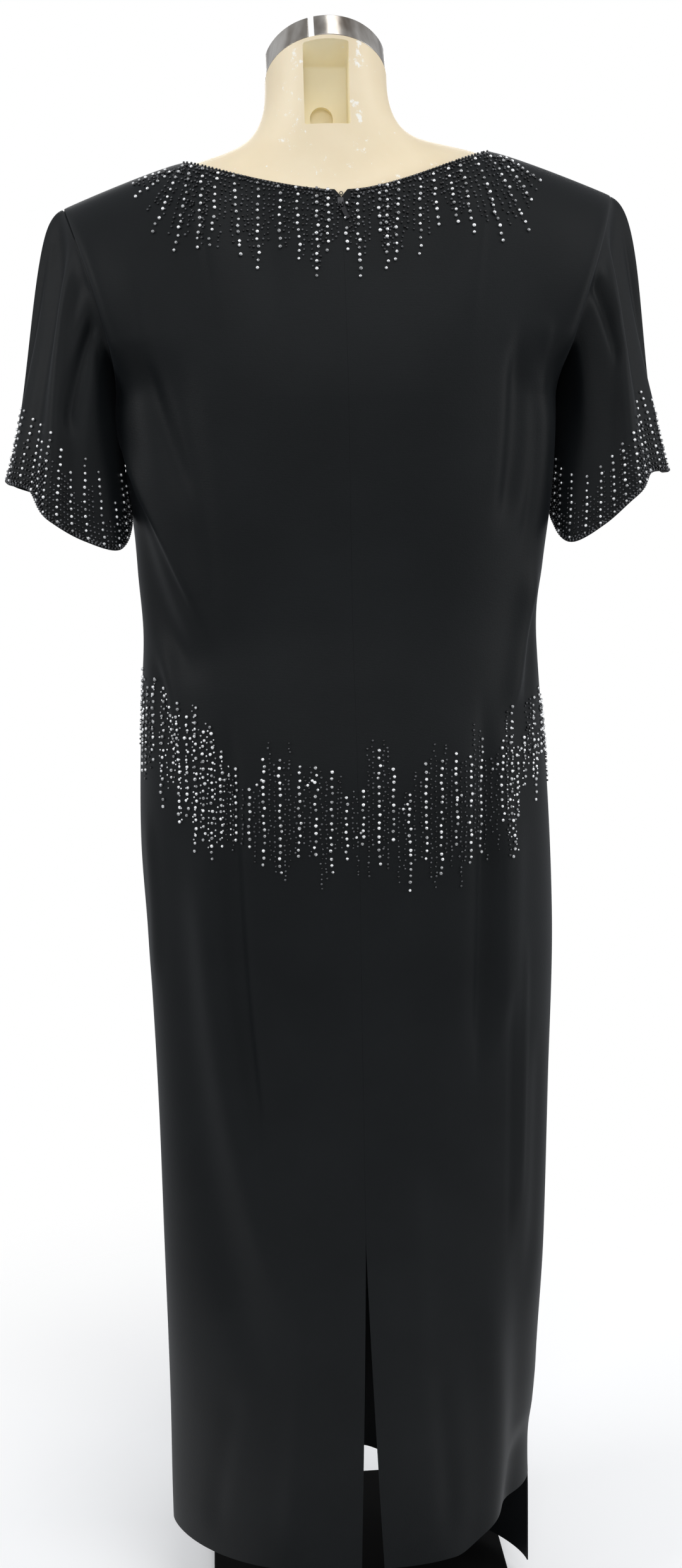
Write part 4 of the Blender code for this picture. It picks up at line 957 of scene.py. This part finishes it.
def add_ramp(tree, value, low, high, low_colour, high_colour):
    node = add_node(tree, "ValToRGB", {"Fac": value})
    first, second = node.color_ramp.elements
    first.position, second.position = low, high
    first.color, second.color = (*low_colour, 1.0), (*high_colour, 1.0)
    return node.outputs["Color"]


def add_range(tree, value, low, high):
    inputs = {"Value": value, "To Min": low, "To Max": high}
    return add_node(tree, "MapRange", inputs).outputs["Result"]


def add_math(tree, kind, a, b=0.0):
    node = tree.nodes.new("ShaderNodeMath")
    node.operation = kind
    return feed(tree, node, {0: a, 1: b}).outputs["Value"]


def add_sum(tree, *terms):
    """Sum of sockets, each times its own weight."""
    total = None
    for socket, weight in terms:
        part = add_math(tree, "MULTIPLY", socket, weight)
        total = part if total is None else add_math(tree, "ADD", total, part)
    return total


def add_bump(tree, height, strength, distance, **before):
    inputs = {"Height": height, "Strength": strength, "Distance": distance, **before}
    return add_node(tree, "Bump", inputs).outputs["Normal"]


def crepe_material(name, dark, light):
    """Matt black crepe: fine pebbled grain with threads crossing, and a faint sheen."""
    material, tree, shader = new_material(name)
    where = object_coordinates(tree)
    grain = add_noise(tree, where, 900.0, 3.0, 0.6)
    pebble = add_noise(tree, where, 420.0)
    cloud = add_noise(tree, where, 9.0, 3.0)
    split = add_node(tree, "SeparateXYZ", {"Vector": where})
    weft = add_math(tree, "SINE", add_math(tree, "MULTIPLY", split.outputs["Z"], 9000.0))
    height = add_sum(tree, (grain, 1.0), (pebble, 0.8), (weft, 0.12))
    tint = add_sum(tree, (cloud, 0.65), (grain, 0.35))
    feed(tree, shader, {
        "Base Color": add_ramp(tree, tint, 0.36, 0.64, dark, light),
        "Normal": add_bump(tree, height, 0.35, 0.0003),
        "Roughness": 0.55, "Specular IOR Level": 0.16,
        "Sheen Weight": 0.020, "Sheen Roughness": 0.40, "Sheen Tint": (0.80, 0.88, 1.0, 1.0)})
    return material


def bead_material(name, dark, light, metallic, roughness):
    """Glass or metal beads, each a little different."""
    material, tree, shader = new_material(name)
    where = object_coordinates(tree)
    patch = add_noise(tree, where, 210.0, 0.0)
    cut = add_noise(tree, where, 1600.0, 1.0)
    feed(tree, shader, {
        "Base Color": add_ramp(tree, patch, 0.35, 0.62, dark, light),
        "Normal": add_bump(tree, cut, 0.25, 0.0002),
        "Metallic": metallic, "Roughness": roughness,
        "Coat Weight": 0.5, "Coat Roughness": 0.08})
    return material


CHIP_MIDDLE, CHIP_REACH = 0.009, 0.028    # worn chips gather on two lines beside the recess
CHIP_WIDTH, CHIP_LOW_Z = 0.012, 1.405


def plastic_material(name, dark, light):
    """Satin cream moulded plastic with a fine orange peel and worn chips at the neck."""
    material, tree, shader = new_material(name)
    where = object_coordinates(tree)
    cloud = add_noise(tree, where, 14.0, 4.0, 0.55)
    speck = add_noise(tree, where, 260.0)
    chips = add_noise(tree, where, 95.0, 8.0, 0.75)
    split = add_node(tree, "SeparateXYZ", {"Vector": where})
    away = split.outputs["X"]
    for place in (CHIP_MIDDLE, CHIP_REACH):
        away = add_math(tree, "ABSOLUTE", add_math(tree, "SUBTRACT", away, place))
    near = add_math(tree, "MULTIPLY", add_math(tree, "SUBTRACT", CHIP_WIDTH, away), 6.0)
    high = add_math(tree, "GREATER_THAN", split.outputs["Z"], CHIP_LOW_Z)
    near = add_math(tree, "MAXIMUM", add_math(tree, "MULTIPLY", near, high), -0.030)
    worn = add_ramp(tree, add_math(tree, "ADD", chips, near), 0.62, 0.66, BLACK, WHITE)
    blend = tree.nodes.new("ShaderNodeMix")
    blend.data_type = "RGBA"
    feed(tree, blend, {"Factor": worn, 6: add_ramp(tree, cloud, 0.30, 0.70, dark, light),
                       7: (0.93, 0.90, 0.82, 1.0)})
    peel = add_bump(tree, speck, 0.12, 0.0004)
    feed(tree, shader, {
        "Base Color": blend.outputs[2],
        "Normal": add_bump(tree, cloud, 0.10, 0.0030, Normal=peel),
        "Roughness": add_range(tree, cloud, 0.36, 0.52),
        "Subsurface Weight": 0.05, "Subsurface Radius": (0.004, 0.002, 0.001)})
    return material


def metal_material(name, dark, light, metallic, low_rough, high_rough, grain, depth,
                   scale=(1.0, 1.0, 1.0)):
    """Metal with a directed grain and uneven polish; where the colour range is wide, as on the neck
    band, the streaks are painted reflection and highlight.
    """
    material, tree, shader = new_material(name)
    fine = add_noise(tree, stretched(tree, scale), grain)
    broad = add_noise(tree, object_coordinates(tree), 22.0, 3.0)
    tint = add_sum(tree, (fine, 0.5), (broad, 0.5))
    feed(tree, shader, {
        "Base Color": add_ramp(tree, tint, 0.35, 0.65, dark, light),
        "Normal": add_bump(tree, fine, 0.15, depth),
        "Roughness": add_range(tree, broad, low_rough, high_rough),
        "Metallic": metallic})
    return material


# ---------------------------------------------------------------- dress form

FORM_COLUMNS = 34
FORM_NECK_COLUMN = 16
END_COLUMNS = 14
TORSO_ROWS = 44
TORSO_ARM_ROWS = 30
NECK_RINGS = 30
BAND_STEPS = 160


def oval(across):
    return (1.0 - np.minimum(np.abs(across), 1.0) ** OVAL) ** (1.0 / OVAL)


def form_point(face, across, up):
    """The form's surface: the plain body surface moved in under the cloth."""
    inset = mix(FORM_CLEAR, FORM_SEAT, ease((up - 0.15) / 0.65))
    across, up = np.broadcast_arrays(np.asarray(across, float), np.asarray(up, float))
    normal = surface_normal(plain_point, face, across, up)
    return plain_point(face, across, up) - np.asarray(inset)[..., None] * normal


def form_steps():
    half = across_steps(FORM_COLUMNS, FORM_NECK_COLUMN)
    scale = (FORM_EDGE - NECK_PART) / (half[-1] - NECK_PART)
    outer = half > NECK_PART + 0.0001
    half = np.where(outer, NECK_PART + (half - NECK_PART) * scale, half)
    return np.concatenate([-half[:0:-1], half])


def form_end(side, up, back_edge, front_edge):
    full = form_point(BACK, float(side), min(up, 0.0))
    reach = abs(full[0]) - abs(back_edge[0])
    if up > 0.0:
        start = form_point(BACK, float(side), 0.0)
        start_edge = form_point(BACK, side * FORM_EDGE, 0.0)
        reach = mix(abs(start[0]) - abs(start_edge[0]), 0.004, float(ease(up / 0.6)))
        reach *= (1.0 - up ** 4)
    part = np.arange(1, END_COLUMNS) / END_COLUMNS
    points = mix(back_edge[None, :], front_edge[None, :], part[:, None])
    points[:, 0] += side * reach * oval(2.0 * part - 1.0)
    return points


def form_ring(up):
    steps = form_steps()
    back = form_point(BACK, steps, up)
    front = form_point(FRONT, steps[::-1], up)
    left = form_end(LEFT, up, back[-1], front[0])
    right = form_end(RIGHT, up, back[0], front[-1])
    return np.concatenate([back, left, front, right[::-1]])


def neck_cut_point(angle):
    x = NECK_CENTRE_X + NECK_RADIUS * math.cos(angle)
    y = NECK_RADIUS * math.sin(angle)
    return np.array([x, y, NECK_CUT_Z + NECK_CUT_SLOPE * y])


def neck_rings(loop):
    """Rings from the neckline up to the neck's cut."""
    rings = []
    for i in range(1, NECK_RINGS + 1):
        keep_start, push_start, push_end = cubic(i / NECK_RINGS)
        ring = []
        for point in loop:
            end = neck_cut_point(math.atan2(point[1] * 1.35, point[0] - NECK_CENTRE_X))
            inward = end - point
            leave = np.array([inward[0] * 1.8, inward[1] * 1.8, abs(inward[0]) * 0.35 + 0.030])
            arrive = np.array([0.0, 0.0, 0.19])
            place = keep_start * point + (1.0 - keep_start) * end
            ring.append(place + push_start * leave + push_end * arrive)
        rings.append(np.array(ring))
    return rings


def mesh_object(name, bm):
    """Object from a bmesh, which is freed."""
    mesh = bpy.data.meshes.new(name)
    bm.to_mesh(mesh)
    bm.free()
    return add_object(name, mesh)


def rounded_box(name, low, high, radius, slope_top):
    """Box with rounded edges and a sloped top, for cutting the recess."""
    bm = bmesh.new()
    made = bmesh.ops.create_cube(bm, size=1.0)
    for vertex in made["verts"]:
        for k in range(3):
            vertex.co[k] = mix(low[k], high[k], vertex.co[k] + 0.5)
        if vertex.co.z > mix(low[2], high[2], 0.5):
            vertex.co.z = slope_top(vertex.co.y)
    bmesh.ops.bevel(bm, geom=bm.edges[:], offset=radius, segments=4, profile=0.5, affect="EDGES")
    return mesh_object(name, bm)


def cut(obj, cutters):
    """Subtract the cutters and remove them."""
    for cutter in cutters:
        modifier = obj.modifiers.new("Cut", "BOOLEAN")
        modifier.operation = "DIFFERENCE"
        modifier.solver = "EXACT"
        modifier.object = cutter
    graph = bpy.context.evaluated_depsgraph_get()
    mesh = bpy.data.meshes.new_from_object(obj.evaluated_get(graph))
    obj.modifiers.clear()
    obj.data = mesh
    for cutter in cutters:
        bpy.data.objects.remove(cutter, do_unlink=True)


def build_form(material, painted_light_recess_material):
    lowest = (TORSO_Z - UNDERARM_Z) / (UNDERARM_Z - HEM_Z)
    ups = [mix(lowest, 0.0, k / TORSO_ROWS) for k in range(TORSO_ROWS)]
    ups += [k / TORSO_ARM_ROWS for k in range(TORSO_ARM_ROWS + 1)]
    rings = [form_ring(up) for up in ups]
    rings[0][:, 2] = TORSO_Z
    bm = bmesh.new()
    levels = [[bm.verts.new(point) for point in ring] for ring in rings]
    count = len(levels[0])
    for low, high in zip(levels, levels[1:]):
        for j in range(count):
            k = (j + 1) % count
            bm.faces.new((low[j], low[k], high[k], high[j]))
    bm.faces.new(levels[0])
    steps = form_steps()
    inside = [j for j, across in enumerate(steps) if abs(across) < NECK_PART + 0.0001]
    offset = len(steps) + END_COLUMNS - 1
    last = [levels[-1][j] for j in inside] + [levels[-1][offset + j] for j in inside][1:-1]
    for ring in neck_rings([np.array(vertex.co) for vertex in last]):
        level = [bm.verts.new(point) for point in ring]
        for j in range(len(level)):
            k = (j + 1) % len(level)
            bm.faces.new((last[j], last[k], level[k], level[j]))
        last = level
    bm.faces.new(last)
    bmesh.ops.remove_doubles(bm, verts=bm.verts, dist=0.00001)
    bmesh.ops.dissolve_degenerate(bm, edges=bm.edges, dist=0.00001)
    bmesh.ops.recalc_face_normals(bm, faces=bm.faces)
    torso = mesh_object("form_shell", bm)

    def roof(y):
        return NECK_CUT_Z + NECK_CUT_SLOPE * y - RECESS_ROOF

    recess = rounded_box("recess_cutter", (RECESS_X[0], RECESS_Y, RECESS_Z),
                         (RECESS_X[1], 0.20, 1.60), RECESS_ROUND, roof)
    bpy.ops.mesh.primitive_cylinder_add(
        vertices=64, radius=THUMB_RADIUS, depth=2.0 * THUMB_DEPTH,
        location=(THUMB_X, RECESS_Y, RECESS_Z + THUMB_RADIUS + SEAM),
        rotation=(math.pi / 2.0, 0.0, 0.0))
    cut(torso, [recess, bpy.context.active_object])
    torso.data.materials.clear()
    torso.data.materials.append(material)
    torso.data.materials.append(painted_light_recess_material)
    # The recess faces take the second material, a lighter copy of the cream plastic: painted light.
    for face in torso.data.polygons:
        x, y, z = face.center
        beside = RECESS_X[0] - 0.0002 < x < RECESS_X[1] + 0.0002
        if beside and z > RECESS_Z - 0.0002 and RECESS_Y - THUMB_DEPTH - 0.0002 < y < 0.049:
            face.material_index = 1
    torso.data.shade_smooth()
    torso.data.set_sharp_from_angle(angle=math.radians(38.0))
    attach(torso, BODY)
    return torso


def build_band(material):
    """Open strip round the neck's cut, with soft edges."""
    lean = np.array([0.0, -NECK_CUT_SLOPE, 1.0])
    lean = lean / np.linalg.norm(lean)
    half_slit = BAND_SLIT / 2.0 / NECK_RADIUS
    start = math.pi / 2.0 - BAND_SLIT_ANGLE + half_slit
    end = start - 2.0 * half_slit + 2.0 * math.pi
    lifts = (SEAM, BAND_EDGE, BAND_HEIGHT / 2.0, BAND_HEIGHT - BAND_EDGE, BAND_HEIGHT)
    outer = np.zeros((len(lifts), BAND_STEPS + 1, 3))
    inner = np.zeros_like(outer)
    for i, lift in enumerate(lifts):
        for k in range(BAND_STEPS + 1):
            angle = mix(start, end, k / BAND_STEPS)
            out = np.array([math.cos(angle), math.sin(angle), 0.0])
            outer[i, k] = neck_cut_point(angle) + lean * lift
            inner[i, k] = outer[i, k] - BAND_WALL * out
    band = wall("band_strip", outer, inner, False, material)
    soften(band, 0.0004, 2)
    return band


# ---------------------------------------------------------------- build

rng = np.random.default_rng(1097)

crepe = crepe_material("crepe_black", (0.0029, 0.0039, 0.0046), (0.0054, 0.0067, 0.0076))
silver = bead_material("bead_silver", (0.24, 0.245, 0.25), (0.96, 0.97, 0.98), 0.70, 0.22)
jet = bead_material("bead_jet", (0.006, 0.006, 0.007), (0.085, 0.088, 0.095), 0.60, 0.28)
cream = plastic_material("form_cream", (0.800, 0.670, 0.455), (0.860, 0.740, 0.530))
# The recess's copy of the cream plastic is lighter than the rest of the form: painted light that
# lifts the recess out of its shade.
recess_painted_light_cream = plastic_material("form_recess_painted_light", (0.900, 0.790, 0.520), (0.950, 0.870, 0.640))
# The neck band's wide ramp from dark brown to pale grey paints reflections and highlights into the
# chrome's colour, as upright streaks.
chrome = metal_material("band_chrome", (0.20, 0.17, 0.14), (0.80, 0.77, 0.72), 1.0, 0.12, 0.26,
                        70.0, 0.0001, (1.0, 1.0, 0.04))
powder = metal_material("base_powder", (0.003, 0.003, 0.003), (0.006, 0.006, 0.006), 0.0, 0.66,
                        0.80, 1400.0, 0.0003)
powder.node_tree.nodes["Principled BSDF"].inputs["Specular IOR Level"].default_value = 0.02
enamel = metal_material("zip_enamel", (0.015, 0.015, 0.017), (0.035, 0.035, 0.038), 0.5, 0.18,
                        0.32, 900.0, 0.0001)
wire = metal_material("hook_black", (0.022, 0.022, 0.024), (0.045, 0.045, 0.048), 0.6, 0.30,
                      0.42, 900.0, 0.0001)

front = build_front(crepe)
back_left = build_back("cloth_back_left", LEFT, crepe)
back_right = build_back("cloth_back_right", RIGHT, crepe)
sleeves = {}
for side, name in ((LEFT, "left"), (RIGHT, "right")):
    outer, normals = sleeve_grid(side)
    sleeves[side] = wall("cloth_sleeve_" + name, outer, outer - SHELL * normals, True, crepe)
    sleeves[side, "beads"] = bead_pair("sleeve_" + name, *sleeve_beads(outer, normals, rng))

hip_bright, hip_dark = hip_back_beads(rng)
neck_bright, neck_dark = neck_back_beads(rng)
edge_dark = neck_edge_beads(BACK, rng)
side_bright, side_dark = hip_side_beads(BACK, rng)
for side, name in ((LEFT, "left"), (RIGHT, "right")):
    bright, dark = ([spot for spot in spots if spot[0][0] * side > 0.0006]
                    for spots in (hip_bright + neck_bright + side_bright,
                                  hip_dark + neck_dark + edge_dark + side_dark))
    bead_pair("back_" + name, bright, dark)
hip_bright, hip_dark = hip_front_beads(rng)
neck_bright, neck_dark = neck_front_beads(rng)
side_bright, side_dark = hip_side_beads(FRONT, rng)
front_beads = bead_pair("front", hip_bright + neck_bright + side_bright,
                        hip_dark + neck_dark + side_dark + neck_edge_beads(FRONT, rng))

torso = build_form(cream, recess_painted_light_cream)
band = build_band(chrome)

for piece, node in ((front, "front"), (back_left, "back_left"), (back_right, "back_right"),
                    (sleeves[LEFT], "sleeve_left"), (sleeves[RIGHT], "sleeve_right"),
                    (torso, "form_torso"), (band, "neck_band")):
    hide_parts(node)


def dress_node(name, material, width=0.0):
    """Finish of a CAD node that stays."""
    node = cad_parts[name]
    node.data.materials.clear()
    node.data.materials.append(material)
    if width:
        soften(node, width, 3)


dress_node("zip_slider", enamel)
dress_node("zip_pull", enamel, 0.0001)
dress_node("hook_eye", wire)
dress_node("stand_pole", powder, 0.0006)
dress_node("stand_base", powder)

# ---------------------------------------------------------------- stage, light, camera


FLOOR_HALF = 3.0
FLOOR_DOWN = 0.0005
FLOOR_FADE = 0.95         # the fade's radius is 1 m by this
CAMERA_AWAY = 1.53
CAMERA_Z = 1.12
CAMERA_PITCH = math.radians(10.0)
CAMERA_SIDE = math.radians(4.5)
CAMERA_PAN = math.radians(-0.2)
CAMERA_ROLL = math.radians(1.2)
FOCAL_PIXELS = 2600.0
PHOTO_HEIGHT = 2482.0
SENSOR = 36.0


def add_floor():
    """Pale floor that fades into the white backdrop."""
    mesh = bpy.data.meshes.new("studio_floor")
    corners = [(x * FLOOR_HALF, y * FLOOR_HALF, 0.0)
               for x, y in ((-1, -1), (1, -1), (1, 1), (-1, 1))]
    mesh.from_pydata(corners, [], [(0, 1, 2, 3)])
    material, tree, shader = new_material("floor_white")
    gradient = add_node(tree, "TexGradient", {"Vector": stretched(tree, (FLOOR_FADE,) * 3)})
    gradient.gradient_type = "SPHERICAL"
    feed(tree, shader, {
        "Base Color": (0.94, 0.94, 0.94, 1.0), "Roughness": 0.90, "Specular IOR Level": 0.0,
        "Alpha": add_ramp(tree, gradient.outputs["Fac"], 0.02, 0.62, BLACK, WHITE)})
    mesh.materials.append(material)
    floor = add_object("studio_floor", mesh)
    floor.location.z = -FLOOR_DOWN


def add_lamp(name, kind, place, aim, energy):
    data = bpy.data.lights.new(name, kind)
    data.energy = energy
    lamp = add_object(name, data)
    lamp.location = place
    lamp.rotation_euler = aim.to_track_quat("-Z", "Y").to_euler()
    return data


def add_light(name, place, target, size, watts):
    data = add_lamp(name, "AREA", place, Vector(target) - Vector(place), watts)
    data.shape = "RECTANGLE"
    data.size, data.size_y = size


def add_world():
    """Backdrop that the camera sees as white, and that lights the dress less."""
    world = bpy.data.worlds.new("studio_world")
    world.use_nodes = True
    tree = world.node_tree
    path = tree.nodes.new("ShaderNodeLightPath")
    tone = add_ramp(tree, path.outputs["Is Camera Ray"], 0.0, 1.0, (0.50, 0.51, 0.53), WHITE)
    feed(tree, tree.nodes["Background"], {"Color": tone, "Strength": 1.0})
    bpy.context.scene.world = world


def add_camera():
    turn = CAMERA_SIDE + CAMERA_PAN
    ahead = Vector((-math.sin(turn) * math.cos(CAMERA_PITCH),
                    -math.cos(turn) * math.cos(CAMERA_PITCH), -math.sin(CAMERA_PITCH)))
    level = ahead.cross(Vector((0.0, 0.0, 1.0))).normalized()
    upright = level.cross(ahead)
    right = level * math.cos(CAMERA_ROLL) - upright * math.sin(CAMERA_ROLL)
    above = upright * math.cos(CAMERA_ROLL) + level * math.sin(CAMERA_ROLL)
    data = bpy.data.cameras.new("photo_camera")
    data.sensor_fit = "VERTICAL"
    data.sensor_height = SENSOR
    data.lens = SENSOR * FOCAL_PIXELS / PHOTO_HEIGHT
    data.clip_start, data.clip_end = 0.01, 100.0
    camera = add_object("photo_camera", data)
    place = Vector((CAMERA_AWAY * math.sin(CAMERA_SIDE), CAMERA_AWAY * math.cos(CAMERA_SIDE),
                    CAMERA_Z))
    camera.matrix_world = Matrix.Translation(place) @ Matrix(
        (right, above, -ahead)).transposed().to_4x4()
    bpy.context.scene.camera = camera


SUN_TOWARD = Vector((-0.7, 1.7, 2.6))

add_floor()
add_world()
add_camera()
add_lamp("sky_soft", "SUN", SUN_TOWARD, -SUN_TOWARD, 0.85).angle = math.radians(30.0)
add_light("left_soft", (2.4, 0.9, 2.3), (0.0, 0.0, 1.3), (1.0, 1.4), 24.0)
add_light("right_soft", (-2.6, 0.8, 1.7), (0.0, 0.0, 0.9), (1.0, 2.2), 24.0)
add_light("back_soft", (0.3, 2.6, 2.0), (0.0, 0.0, 1.3), (0.9, 0.9), 8.0)
add_light("front_soft", (0.0, -2.6, 2.4), (0.0, 0.0, 1.0), (2.0, 1.6), 24.0)
bpy.context.scene.view_settings.view_transform = "Standard"
